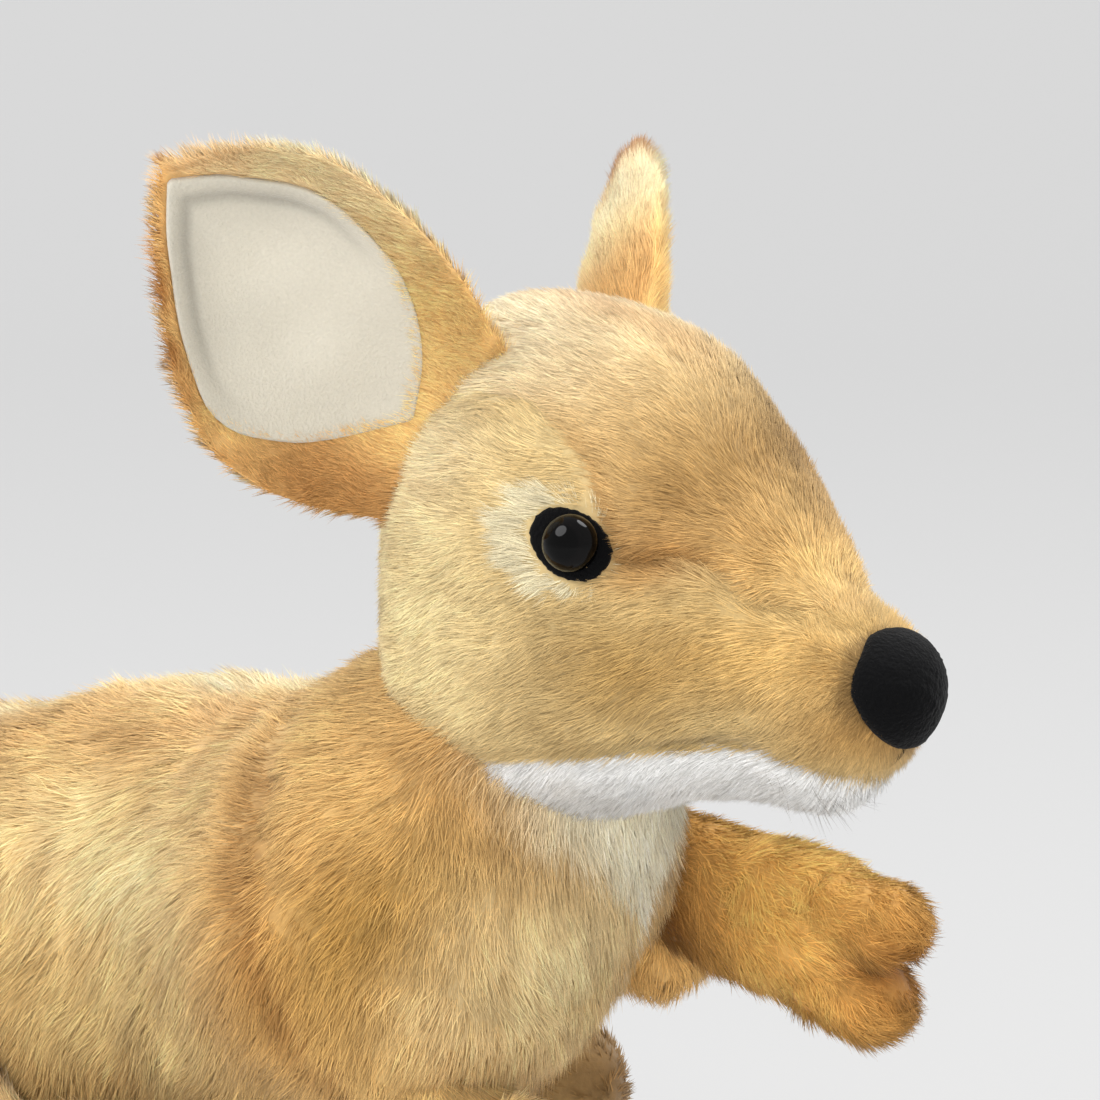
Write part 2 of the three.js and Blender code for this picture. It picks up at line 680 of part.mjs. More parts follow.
// Ears: plush back with its root roll, and the lining in its cup.
const ears = new THREE.Group();
const liningEnd = earLength - earLiningInset;
const liningLow = earThickness / 2 + earLiningLift;
const liningHigh = liningLow + earLiningThickness;
for (const [side, frame] of Object.entries(earFrames)) {
  const leaf = earSheet(frame, 0, 0, earLength, -earThickness / 2, earThickness / 2);
  const lining = earSheet(frame, earLiningInset, earLiningStart, liningEnd, liningLow, liningHigh);
  addPiece(ears, `ear_back_${side}`, leaf.add(earRoll(frame, 0, 0)), "tanPlush");
  addPiece(ears, `ear_lining_${side}`, lining, "lining");
}

// Neck and trunk pieces.
const trunk = new THREE.Group();
addPiece(trunk, "neck_filling", neckFilling, "filling");
addPiece(trunk, "neck_collar", neckCollar, "tanPlush");
addPiece(trunk, "trunk_filling", trunkFilling, "filling");
addPiece(trunk, "belly_panel", trunkShell.intersect(belly), "creamPlush");
for (const [side, half] of Object.entries(halves)) {
  const sidePanels = trunkShell.subtract(bellyAndGap).intersect(half);
  addPiece(trunk, `flank_${side}`, sidePanels.intersect(behindSeam), "tanPlush");
  addPiece(trunk, `shoulder_${side}`, sidePanels.intersect(aheadOfSeam), "tanPlush");
}

// Arms: each lies flat on its seat within the clear radius of its shoulder pivot.
const limbs = new THREE.Group();

function pawedArm(form) {
  let solid = stuffedSolid(form);
  const tip = spineAt(form, form.length - pawCap / 2);
  for (const spread of [-1, 1]) {
    const toe = tip.middle.clone().addScaledVector(tip.along, toeReach);
    toe.addScaledVector(tip.upward, spread * toeSpread);
    solid = solid.add(ball(toe, toeRadius, toeSegments));
  }
  return solid;
}

for (const [side, sign] of Object.entries(sideSigns)) {
  const tilt = toRadians(armTilts[side]);
  const stations = armOutline.map((s) => ({
    ...s,
    forward: shoulderForward + s.along * Math.cos(tilt),
    height: shoulderHeight - s.along * Math.sin(tilt),
    side: sign * (shoulderSeat + s.out),
  }));
  const form = makeForm(stations, armRootCap, pawCap, limbSides, limbRings);
  const trunkRoom = besideShoulder(sign, 0, shoulderSeat + seamGap);
  const sleeve = pawedArm(form).subtract(stuffedSolid(form, plushBacking)).subtract(trunkRoom);
  const filling = stuffedSolid(form, plushBacking + seamGap).subtract(trunkRoom);
  addPiece(limbs, `arm_filling_${side}`, filling, "filling");
  addPiece(limbs, `arm_sleeve_${side}`, sleeve, "tanPlush");
}

// Hind legs: the haunch lies on the hip seat, and the foot is hollowed for it.
const soleTop = new THREE.Vector3(0, 0, plushBacking);
const belowSole = beyondPlane(soleTop, down);
const belowUpper = beyondPlane(soleTop.clone().addScaledVector(up, seamGap), down);
for (const [side, sign] of Object.entries(sideSigns)) {
  const haunchStations = haunchOutline.map((s) => ({
    ...s,
    forward: hipForward + s.along,
    height: hipHeight + (s.rise - s.drop) / 2,
    rise: (s.rise + s.drop) / 2,
    drop: (s.rise + s.drop) / 2,
    side: sign * (hipSeat + s.out),
  }));
  const footStations = footOutline.map((s) => ({ ...s, side: sign * (hipSeat + footOut) }));
  const haunchForm = makeForm(haunchStations, haunchBackCap, kneeCap, limbSides, limbRings);
  const footForm = makeForm(footStations, heelCap, footToeCap, limbSides, limbRings);
  const seatPoint = new THREE.Vector3(0, sign * (hipSeat + seamGap), 0);
  const trunkRoom = beyondPlane(seatPoint, new THREE.Vector3(0, -sign, 0));
  const haunchShell = stuffedSolid(haunchForm).subtract(stuffedSolid(haunchForm, plushBacking));
  const haunchFilling = stuffedSolid(haunchForm, plushBacking + seamGap);
  const haunchRoom = stuffedSolid(haunchForm, -seamGap);
  const foot = stuffedSolid(footForm);
  const footShell = foot.subtract(stuffedSolid(footForm, plushBacking));
  const footFilling = stuffedSolid(footForm, plushBacking + seamGap);
  addPiece(limbs, `haunch_filling_${side}`, haunchFilling.subtract(trunkRoom), "filling");
  addPiece(limbs, `haunch_cover_${side}`, haunchShell.subtract(trunkRoom), "tanPlush");
  addPiece(limbs, `foot_filling_${side}`, footFilling.subtract(belowUpper).subtract(haunchRoom), "filling");
  addPiece(limbs, `foot_upper_${side}`, footShell.subtract(belowUpper).subtract(haunchRoom), "tanPlush");
  addPiece(limbs, `foot_sole_${side}`, foot.subtract(floor).intersect(belowSole), "creamPlush");
}

// Tail: its cover starts behind the ball, and its filling fills the ball.
const behindBall = beyondPlane(tailPivot, tailRootLine.clone().negate());
const aheadOfBall = beyondPlane(tailPivot.clone().addScaledVector(tailRootLine, seamGap), tailRootLine);
const tailShell = stuffedSolid(tailForm).subtract(stuffedSolid(tailForm, plushBacking));
const tailCover = tailShell.intersect(behindBall).subtract(floor);
const tailCore = stuffedSolid(tailForm, plushBacking + seamGap).subtract(floor);
const tailBall = ball(tailPivot, tailRootRadius, socketSegments);
const tailFilling = tailCore.intersect(tailBall.add(behindBall)).add(tailBall.intersect(aheadOfBall));
addPiece(limbs, "tail_filling", tailFilling, "filling");
addPiece(limbs, "tail_cover", tailCover, "tanPlush");

// The toy stands with its origin under the middle of its box.
const toy = new THREE.Group();
toy.add(head, ears, trunk, limbs);
const box = new THREE.Box3().setFromObject(toy);
const middle = box.getCenter(new THREE.Vector3());
toy.position.set(-middle.x, -middle.y, -box.min.z);

export default toy;
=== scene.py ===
import json
import bpy
import numpy as np
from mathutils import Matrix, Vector


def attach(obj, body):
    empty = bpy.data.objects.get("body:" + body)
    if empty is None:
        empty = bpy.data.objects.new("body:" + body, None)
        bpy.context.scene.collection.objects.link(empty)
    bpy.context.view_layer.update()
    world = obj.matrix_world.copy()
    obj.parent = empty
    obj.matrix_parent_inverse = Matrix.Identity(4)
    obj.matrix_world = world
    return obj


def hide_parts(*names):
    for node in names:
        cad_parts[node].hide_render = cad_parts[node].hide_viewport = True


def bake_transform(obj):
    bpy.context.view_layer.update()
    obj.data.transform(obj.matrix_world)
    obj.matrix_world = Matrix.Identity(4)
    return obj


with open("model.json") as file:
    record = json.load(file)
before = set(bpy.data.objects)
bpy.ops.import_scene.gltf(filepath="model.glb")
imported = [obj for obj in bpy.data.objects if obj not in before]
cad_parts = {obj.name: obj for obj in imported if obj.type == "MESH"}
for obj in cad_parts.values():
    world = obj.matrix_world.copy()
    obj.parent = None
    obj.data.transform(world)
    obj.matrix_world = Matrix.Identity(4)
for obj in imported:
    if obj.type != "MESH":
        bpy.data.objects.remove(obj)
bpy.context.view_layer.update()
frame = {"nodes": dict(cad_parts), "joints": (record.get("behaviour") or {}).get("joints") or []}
print("frame loaded:", len(frame["nodes"]), "solids")

mm = 0.001  # shapes are worked out in millimetres and laid into meshes in metres
joints = {joint["name"]: joint for joint in frame["joints"]}
sideSigns = {"left": 1, "right": -1}


def jointPlace(name):
    return np.array(joints[name]["pos_m"], float) / mm


def tint(code):  # a hex colour as linear red, green, blue
    share = np.array([int(code[i:i + 2], 16) for i in (0, 2, 4)]) / 255
    return np.where(share <= 0.04045, share / 12.92, ((share + 0.055) / 1.055) ** 2.4)


def rise(value, low, high):  # 0 below low, 1 above high, an S between them
    share = np.clip((value - low) / (high - low), 0, 1)
    return share * share * (3 - 2 * share)


def unit(vectors):
    size = np.linalg.norm(vectors, axis=-1, keepdims=True)
    return vectors / np.maximum(size, 1e-9)


def bell(gap, width):  # 1 at no gap, falling off as a Gauss curve
    return np.exp(-(gap / width) ** 2)


def ringTurns(count):
    return np.linspace(0, 2 * np.pi, count, endpoint=False)


def layTone(tone, code, share):  # a hex colour laid over a tone
    return tone * (1 - share) + tint(code) * share


rippleSetting = {"waves": 7, "spread": (0.6, 1.6), "gain": 1.9}


def ripple(points, size, seed):  # mean of sine waves of about that wavelength in random directions
    dice = np.random.default_rng(seed)
    count = rippleSetting["waves"]
    waves = unit(dice.normal(size=(count, 3)))
    waves = waves * (2 * np.pi / size * dice.uniform(*rippleSetting["spread"], (count, 1)))
    return np.sin(points @ waves.T + dice.uniform(0, 2 * np.pi, count)).mean(-1) * rippleSetting["gain"]


def lineGap(points, line):  # least distance in side view, X and Z, to a line of points
    flat = points[..., (0, 2)][..., None, :]
    start, reach = line[:-1], np.diff(line, axis=0)
    share = np.clip(((flat - start) * reach).sum(-1) / (reach ** 2).sum(-1), 0, 1)
    return np.linalg.norm(flat - start - share[..., None] * reach, axis=-1).min(-1)


def gridNormals(points):  # across the rows times along them; the end rows take their neighbours' mean
    along = np.gradient(points, axis=0)
    around = np.roll(points, -1, 1) - np.roll(points, 1, 1)
    normals = unit(np.cross(around, along))
    normals[0] = unit(normals[1].mean(0))
    normals[-1] = unit(normals[-2].mean(0))
    return normals


formSetting = {"samples": 600, "stations": 60, "reach": 6}


# A stuffed form: a Catmull-Rom line through stations of (x, y, z, half width, rise, drop), with an
# ellipse round it at each place, shrunk to a point at both ends as the square root of one less the
# square of how far the place is into the end's cap.
def stuffedForm(stations, caps, rows, sides, full=(0, 1, 2)):
    rowsIn = np.asarray(stations, float)
    held = np.vstack([2 * rowsIn[0] - rowsIn[1], rowsIn, 2 * rowsIn[-1] - rowsIn[-2]])
    place = np.linspace(0, len(rowsIn) - 1 - 1e-9, formSetting["samples"])
    first = place.astype(int)
    part = (place - first)[:, None]
    a, b, c, d = (held[first + i] for i in range(4))
    line = 0.5 * (2 * b + (c - a) * part + (2 * a - 5 * b + 4 * c - d) * part ** 2
                  + (3 * b - 3 * c + d - a) * part ** 3)
    run = np.r_[0, np.cumsum(np.linalg.norm(np.diff(line[:, :3], axis=0), axis=1))]
    form = {"run": run, "line": line, "lead": unit(np.gradient(line[:, :3], run, axis=0)),
            "length": run[-1], "caps": caps, "full": full}
    travel = run[-1] * (1 - np.cos(np.linspace(0, np.pi, rows))) / 2
    form["travel"], angle = np.meshgrid(travel, ringTurns(sides), indexing="ij")
    form["points"] = formPoint(form, form["travel"], angle)
    form["normals"] = gridNormals(form["points"])
    form["along"] = np.broadcast_to(spineAt(form, travel)[1][:, None], form["points"].shape)
    return form


def spineAt(form, travel):
    line = np.stack([np.interp(travel, form["run"], form["line"][:, i]) for i in range(6)], -1)
    lead = unit(np.stack([np.interp(travel, form["run"], form["lead"][:, i]) for i in range(3)], -1))
    across = unit(np.array([0.0, 1, 0]) - lead * lead[..., 1:2])
    past = np.maximum(1 - travel / form["caps"][0], 1 - (form["length"] - travel) / form["caps"][1])
    return line, lead, across, np.cross(lead, across), np.sqrt(1 - np.clip(past, 0, 1) ** 2)


def formPoint(form, travel, angle):  # below the middle the section is squarer, fading out along the travel
    line, lead, across, upward, share = spineAt(form, travel)
    tall = np.where(np.sin(angle) > 0, line[..., 4], line[..., 5])
    amount, start, end = form["full"]
    swell = 1 + amount * np.sin(2 * angle) ** 2 * (np.sin(angle) < 0) * (1 - rise(travel, start, end))
    wide = (np.cos(angle) * line[..., 3] * share * swell)[..., None] * across
    return line[..., :3] + wide + (np.sin(angle) * tall * share * swell)[..., None] * upward


def dressForm(form, depth):  # moves the skin along its normals
    form["points"] = form["points"] + form["normals"] * depth[..., None]
    form["normals"] = gridNormals(form["points"])


def inside(form, points, spare=0.0):  # True within the ellipse at the form's nearest station
    shape = points.shape[:-1]
    flat = points.reshape(-1, 3)
    travel = np.linspace(1, form["length"] - 1, formSetting["stations"])
    line, lead, across, upward, share = spineAt(form, travel)
    gaps = (line[:, :3] ** 2).sum(-1) - 2 * flat @ line[:, :3].T
    near = gaps.argmin(1)
    out = flat - line[near, :3]
    wide = (out * across[near]).sum(-1) / (line[near, 3] + spare)
    tall = (out * upward[near]).sum(-1)
    tall = tall / (np.where(tall > 0, line[near, 4], line[near, 5]) + spare)
    past = np.abs((out * lead[near]).sum(-1)) > formSetting["reach"]
    return ((wide ** 2 + tall ** 2 < share[near] ** 2) & ~past).reshape(shape)


def layMesh(name, points, corners, sizes):
    mesh = bpy.data.meshes.new(name)
    mesh.vertices.add(len(points))
    mesh.vertices.foreach_set("co", (points * mm).astype(np.float32).ravel())
    mesh.loops.add(len(corners))
    mesh.loops.foreach_set("vertex_index", corners.astype(np.int32))
    mesh.polygons.add(len(sizes))
    mesh.polygons.foreach_set("loop_start", (np.cumsum(sizes) - sizes).astype(np.int32))
    mesh.update(calc_edges=True)
    mesh.shade_smooth()
    piece = bpy.data.objects.new(name, mesh)
    bpy.context.scene.collection.objects.link(piece)
    return piece


def paint(piece, tones):
    layer = piece.data.color_attributes.new("tone", "FLOAT_COLOR", "POINT")
    layer.data.foreach_set("color", np.c_[tones, np.ones(len(tones))].astype(np.float32).ravel())


# A closed skin from a grid whose first and last rows are poles: quads between rows, fans at both ends.
def layClosedGrid(name, points, tones=None, flip=False):
    rows, sides = points.shape[:2]
    index = np.arange((rows - 2) * sides).reshape(rows - 2, sides) + 1
    turned = np.roll(index, -1, 1)
    quads = np.stack([index[:-1], turned[:-1], turned[1:], index[1:]], -1).reshape(-1, 4)
    last = (rows - 2) * sides + 1
    startFan = np.stack([np.zeros(sides, int), turned[0], index[0]], -1)
    endFan = np.stack([np.full(sides, last), index[-1], turned[-1]], -1)
    fans = np.vstack([startFan, endFan])
    if flip:
        quads, fans = quads[:, ::-1], fans[:, ::-1]
    corners = np.r_[quads.ravel(), fans.ravel()]
    sizes = np.r_[np.full(len(quads), 4), np.full(len(fans), 3)]
    kept = np.vstack([points[0].mean(0), points[1:-1].reshape(-1, 3), points[-1].mean(0)])
    piece = layMesh(name, kept, corners, sizes)
    if tones is not None:
        paint(piece, np.vstack([tones[0].mean(0), tones[1:-1].reshape(-1, 3), tones[-1].mean(0)]))
    return piece


def readGrid(field, row, side):  # straight-line reading of a grid, closed round its sides
    rows, sides = field.shape[:2]
    low = np.clip(row.astype(int), 0, rows - 2)
    left = np.floor(side).astype(int)
    up, over = (row - low)[:, None], (side - left)[:, None]
    near = field[low, left % sides] * (1 - over) + field[low, (left + 1) % sides] * over
    far = field[low + 1, left % sides] * (1 - over) + field[low + 1, (left + 1) % sides] * over
    return near * (1 - up) + far * up


# Plush is laid thinner, with wider strands, on what is turned away from the front right, far back
# or low down.
shownSetting = {"toward": (0.637, -0.759, 0.139), "least": 0.34, "turned": (-0.45, -0.15),
                "hind": (-25, 5), "lean": 0.84, "low": (62, 74), "widen": -0.6}


def shownShare(points, normals):
    hind = points[..., 0] + shownSetting["lean"] * points[..., 1]
    shown = rise(normals @ np.array(shownSetting["toward"]), *shownSetting["turned"])
    shown = shown * rise(hind, *shownSetting["hind"]) * rise(points[..., 2], *shownSetting["low"])
    return shownSetting["least"] + (1 - shownSetting["least"]) * shown


strandSetting = {
    "leastStep": 0.2, "edge": 0.01, "sureShare": 0.98, "liftWave": 0.35, "waveShare": 0.7, "liftStray": 0.25,
    "liftRange": (4, 85), "lengths": (0.72, 1.12), "tuftLengths": (0.9, 1.1), "floor": 0.3, "mottle": 0.16,
    "shades": (0.74, 1.26), "widths": (0.75, 1.25), "rootDepth": 0.4, "slimness": 1.7, "brightest": 0.95,
}


# Strands of pile on a form. Tuft middles are drawn by area, the roots of a tuft scatter round its
# middle, and each tip is the root plus length times (comb turned up by lift), drawn in to the tuft.
def pileOf(form, setting, keep, comb, tone, seed):
    dice = np.random.default_rng(seed)
    points, normals = form["points"], form["normals"]
    tall = np.linalg.norm(np.diff(points, axis=0), axis=-1)
    wide = np.linalg.norm(np.roll(points, -1, 1) - points, axis=-1)
    area = (tall + np.roll(tall, -1, 1)) / 2 * (wide[:-1] + wide[1:]) / 2
    middles = (points[:-1] + points[1:] + np.roll(points[:-1], -1, 1) + np.roll(points[1:], -1, 1)) / 4
    leading = unit(normals[:-1] + normals[1:])
    weight = area * keep(middles, leading) * shownShare(middles, leading)
    tufts = int(weight.sum() * setting["perSquare"] / setting["perTuft"])
    cells = dice.choice(weight.size, tufts, p=weight.ravel() / weight.sum())
    row, side = np.unravel_index(cells, weight.shape)
    row, side = row + dice.random(tufts), side + dice.random(tufts)
    tuft = np.repeat(np.arange(tufts), setting["perTuft"])
    cell = row.astype(int), side.astype(int) % tall.shape[1]
    rowStep, sideStep = (np.maximum(steps[cell], strandSetting["leastStep"]) for steps in (tall, wide))
    off = dice.normal(0, setting["tuftReach"], (len(tuft), 2))
    last = len(points) - 1 - strandSetting["edge"]
    row = np.clip(row[tuft] + off[:, 0] / rowStep[tuft], strandSetting["edge"], last)
    side = side[tuft] + off[:, 1] / sideStep[tuft]
    root, out = readGrid(points, row, side), unit(readGrid(normals, row, side))
    kept = keep(root, out) > dice.random(len(root)) * strandSetting["sureShare"]
    root, out, tuft = root[kept], out[kept], tuft[kept]
    heading = comb(root, readGrid(form["along"], row[kept], side[kept]))
    heading = unit(heading - out * (heading * out).sum(-1, keepdims=True))
    swirl = ripple(root, setting["swirlSize"], seed + 1) * setting["swirl"]
    swirl = swirl + dice.normal(0, setting["stray"], len(root))
    beside = np.cross(out, heading)
    heading = heading * np.cos(swirl)[:, None] + beside * np.sin(swirl)[:, None]
    wave = ripple(root, setting["swirlSize"] * strandSetting["waveShare"], seed + 2)
    lift = setting["lift"] * (1 + strandSetting["liftWave"] * wave)
    lift = lift + dice.normal(0, setting["lift"] * strandSetting["liftStray"], len(root))
    lift = np.radians(np.clip(lift, *strandSetting["liftRange"]))
    reach = heading * np.cos(lift)[:, None] + out * np.sin(lift)[:, None]
    size = setting["length"] * dice.uniform(*strandSetting["lengths"], len(root))
    size = size * dice.uniform(*strandSetting["tuftLengths"], tufts)[tuft]
    if "lengthAt" in setting:
        size = size * setting["lengthAt"](root)
    count = np.maximum(np.bincount(tuft, minlength=tufts), 1)[:, None]
    tuftMiddle = np.stack([np.bincount(tuft, root[:, i], tufts) for i in range(3)], -1) / count
    tip = root + reach * size[:, None] + (tuftMiddle[tuft] - root) * setting["pull"]
    tip[:, 2] -= setting["droop"] * size
    tip[:, 2] = np.maximum(tip[:, 2], strandSetting["floor"])
    mottle = setting.get("mottle", strandSetting["mottle"])
    colour = tone(root, out) * dice.uniform(1 - mottle, 1 + mottle, tufts)[tuft][:, None]
    colour = colour * dice.uniform(*strandSetting["shades"], (len(root), 1))
    width = setting["width"] * dice.uniform(*strandSetting["widths"], len(root))
    width = width * shownShare(root, out) ** shownSetting["widen"]
    root = root - out * strandSetting["rootDepth"]
    return {"root": root, "tip": tip, "out": out, "width": width, "colour": colour}


# Each strand is a closed spike: three corners round the root and one at the tip, four triangles.
def layPile(name, piles, setting):
    root, tip, out, colour, width = (np.concatenate([pile[key] for pile in piles])
                                     for key in ("root", "tip", "out", "colour", "width"))
    lead = unit(tip - root)
    beside = unit(np.cross(lead, out))
    above = np.cross(lead, beside)
    turns = ringTurns(3)[None, :, None] + np.pi / 2
    ring = np.cos(turns) * beside[:, None] + np.sin(turns) * above[:, None]
    half = (width / strandSetting["slimness"])[:, None, None]
    points = np.concatenate([root[:, None] + ring * half, tip[:, None]], 1)
    index = np.arange(len(root))[:, None] * 4
    faces = np.array([0, 1, 3, 1, 2, 3, 2, 0, 3, 2, 1, 0])
    piece = layMesh(name, points.reshape(-1, 3), (index + faces).ravel(), np.full(4 * len(root), 3))
    rootTone = colour * np.array(setting["rootTone"])
    tipTone = np.minimum(colour * np.array(setting["tipTone"]), strandSetting["brightest"])
    paint(piece, np.concatenate([np.repeat(rootTone[:, None], 3, 1), tipTone[:, None]], 1).reshape(-1, 3))
    cells = int(np.ceil(np.sqrt(len(root))))
    corner = np.stack([np.arange(len(root)) % cells, np.arange(len(root)) // cells], -1)
    patch = np.array([[.05, .2], [.33, .2], [.19, .95], [.35, .2], [.65, .2], [.5, .95],
                      [.67, .2], [.95, .2], [.81, .95], [.3, .02], [.7, .02], [.5, .12]])
    layer = piece.data.uv_layers.new(name="OFBake")
    layer.data.foreach_set("uv", ((corner[:, None] + patch) / cells).astype(np.float32).ravel())
    soft = unit(np.concatenate([out[:, None] * 0.7 + ring * 0.7,
                                (out * 0.8 + lead * 0.35)[:, None]], 1).reshape(-1, 3))
    piece.data.normals_split_custom_set_from_vertices(soft)
    print(name, len(root), "strands")
    return piece


# Materials

def setInputs(node, values):
    for key, value in values.items():
        node.inputs[key].default_value = value


def addNode(tree, kind, inputs=(), **values):
    node = tree.nodes.new(kind)
    for key, value in values.items():
        setattr(node, key, value)
    setInputs(node, dict(inputs))
    return node


def wire(tree, *pairs):  # links each output to its input
    for source, target in pairs:
        tree.links.new(source, target)


# Colour times (1 plus strength times (noise less 0.5)), roughness from the same noise, and the noise
# itself for bumps.
def makePileGroup():
    group = bpy.data.node_groups.new("pileGrain", "ShaderNodeTree")
    for way, sockets in (("INPUT", (("Tone", "Color"), ("Scale", "Float"), ("Strength", "Float"))),
                         ("OUTPUT", (("Color", "Color"), ("Roughness", "Float"), ("Grain", "Float")))):
        for name, kind in sockets:
            group.interface.new_socket(name, in_out=way, socket_type="NodeSocket" + kind)
    inputs = addNode(group, "NodeGroupInput")
    outputs = addNode(group, "NodeGroupOutput")
    place = addNode(group, "ShaderNodeTexCoord")
    grain = addNode(group, "ShaderNodeTexNoise", {"Detail": 4})
    centred = addNode(group, "ShaderNodeMath", {1: 0.5}, operation="SUBTRACT")
    swing = addNode(group, "ShaderNodeMath", {2: 1}, operation="MULTIPLY_ADD")
    shade = addNode(group, "ShaderNodeVectorMath", operation="SCALE")
    rough = addNode(group, "ShaderNodeMapRange", {"To Min": 0.62, "To Max": 0.9})
    wire(group, (place.outputs["Object"], grain.inputs["Vector"]),
         (inputs.outputs["Scale"], grain.inputs["Scale"]), (grain.outputs["Fac"], centred.inputs[0]),
         (centred.outputs[0], swing.inputs[0]),
         (inputs.outputs["Strength"], swing.inputs[1]), (inputs.outputs["Tone"], shade.inputs[0]),
         (swing.outputs[0], shade.inputs["Scale"]), (shade.outputs[0], outputs.inputs["Color"]),
         (grain.outputs["Fac"], rough.inputs["Value"]), (rough.outputs[0], outputs.inputs["Roughness"]),
         (grain.outputs["Fac"], outputs.inputs["Grain"]))
    return group


pileGrain = makePileGroup()


def newMaterial(name):
    material = bpy.data.materials.new(name)
    material.use_nodes = True
    return material, material.node_tree, material.node_tree.nodes["Principled BSDF"]


def clothMaterial(name, scale, strength, sheen, bump=0.0, code=None, specular=0.2):
    material, tree, shader = newMaterial(name)
    grain = addNode(tree, "ShaderNodeGroup", {"Scale": scale, "Strength": strength}, node_tree=pileGrain)
    if code is None:
        source = addNode(tree, "ShaderNodeAttribute", attribute_name="tone")
        wire(tree, (source.outputs["Color"], grain.inputs["Tone"]))
    else:
        setInputs(grain, {"Tone": (*tint(code), 1)})
    wire(tree, (grain.outputs["Color"], shader.inputs["Base Color"]),
         (grain.outputs["Roughness"], shader.inputs["Roughness"]))
    setInputs(shader, {"Sheen Weight": sheen, "Sheen Roughness": 0.45, "Specular IOR Level": specular})
    if bump:
        raised = addNode(tree, "ShaderNodeBump", {"Strength": bump, "Distance": 0.0006})
        wire(tree, (grain.outputs["Grain"], raised.inputs["Height"]),
             (raised.outputs["Normal"], shader.inputs["Normal"]))
    return material


def eyeMaterial():  # black dome; its tone holds a faint ring between pupil and edge
    material, tree, shader = newMaterial("eyeGloss")
    source = addNode(tree, "ShaderNodeAttribute", attribute_name="tone")
    smear = addNode(tree, "ShaderNodeTexNoise", {"Scale": 180})
    rough = addNode(tree, "ShaderNodeMapRange", {"To Min": 0.03, "To Max": 0.09})
    setInputs(shader, {"Specular IOR Level": 0.13})
    wire(tree, (source.outputs["Color"], shader.inputs["Base Color"]),
         (smear.outputs["Fac"], rough.inputs["Value"]), (rough.outputs[0], shader.inputs["Roughness"]))
    return material


furFinish = clothMaterial("plushPile", 900, 0.25, 0.1)
backingFinish = clothMaterial("plushBacking", 700, 0.5, 0.2, bump=0.4)
liningFinish = clothMaterial("earVelour", 1600, 0.22, 0.5, bump=0.5)
feltFinish = clothMaterial("blackFelt", 1300, 0.9, 0.04, bump=0.8, code="0a0a0b", specular=0.06)
eyeFinish = eyeMaterial()


def finishPiece(piece, material, body=None, nodes=()):
    piece.data.materials.append(material)
    if body:
        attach(piece, body)
    if nodes:
        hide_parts(*nodes)
    return piece


def furPiece(name, piles, setting, body, node):
    return finishPiece(layPile(name, piles, setting), furFinish, body, [node])


def bend(piece, first, second, start, end):
    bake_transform(piece)


def dyeAndShadeSpots(points, base, spots, middle):  # soft ellipses of colour in side view, laid one over another: airbrushed colour, and in places painted light and shade
    tone = np.broadcast_to(base, points.shape).copy()
    for forward, height, reach, tall, code, strength in spots:
        far = ((points[..., 0] - middle[0] - forward) / reach) ** 2
        far = far + ((points[..., 2] - middle[2] - height) / tall) ** 2
        tone = layTone(tone, code, strength * np.exp(-far)[..., None])
    return tone


streakSetting = {"sizes": (26, 8, 3.5), "shares": (1, 0.8, 0.6), "drawn": (0.5, 1, 1),
                 "colours": (0.9, 1.03, 1.2)}


def streaks(points, seed, strength):  # blotches and streaks along the comb; the dark ones are browner
    waves = 0
    for i, (size, share) in enumerate(zip(streakSetting["sizes"], streakSetting["shares"])):
        drawn = np.array(streakSetting["drawn"]) if i == 1 else 1
        waves = waves + share * ripple(points * drawn, size, seed + i)
    return 1 + strength * waves[..., None] * np.array(streakSetting["colours"])


# Places

neckPivot = jointPlace("head_turn")
neckAxis = np.array(joints["head_turn"]["axis"])
skull = neckPivot + np.array([23.0, 0, 68])
hips = {side: jointPlace("hip_swing_" + side) for side in sideSigns}
shoulders = {side: jointPlace("arm_swing_" + side) for side in sideSigns}
tailPivot = jointPlace("tail_wag")


def sideStations(rows, origin):  # rows of (forward, height, half width, rise, drop) on the middle plane
    rows = np.asarray(rows, float)
    middle = origin + np.c_[rows[:, 0], np.zeros(len(rows)), rows[:, 1]]
    return np.c_[middle, rows[:, 2:]]


# Head

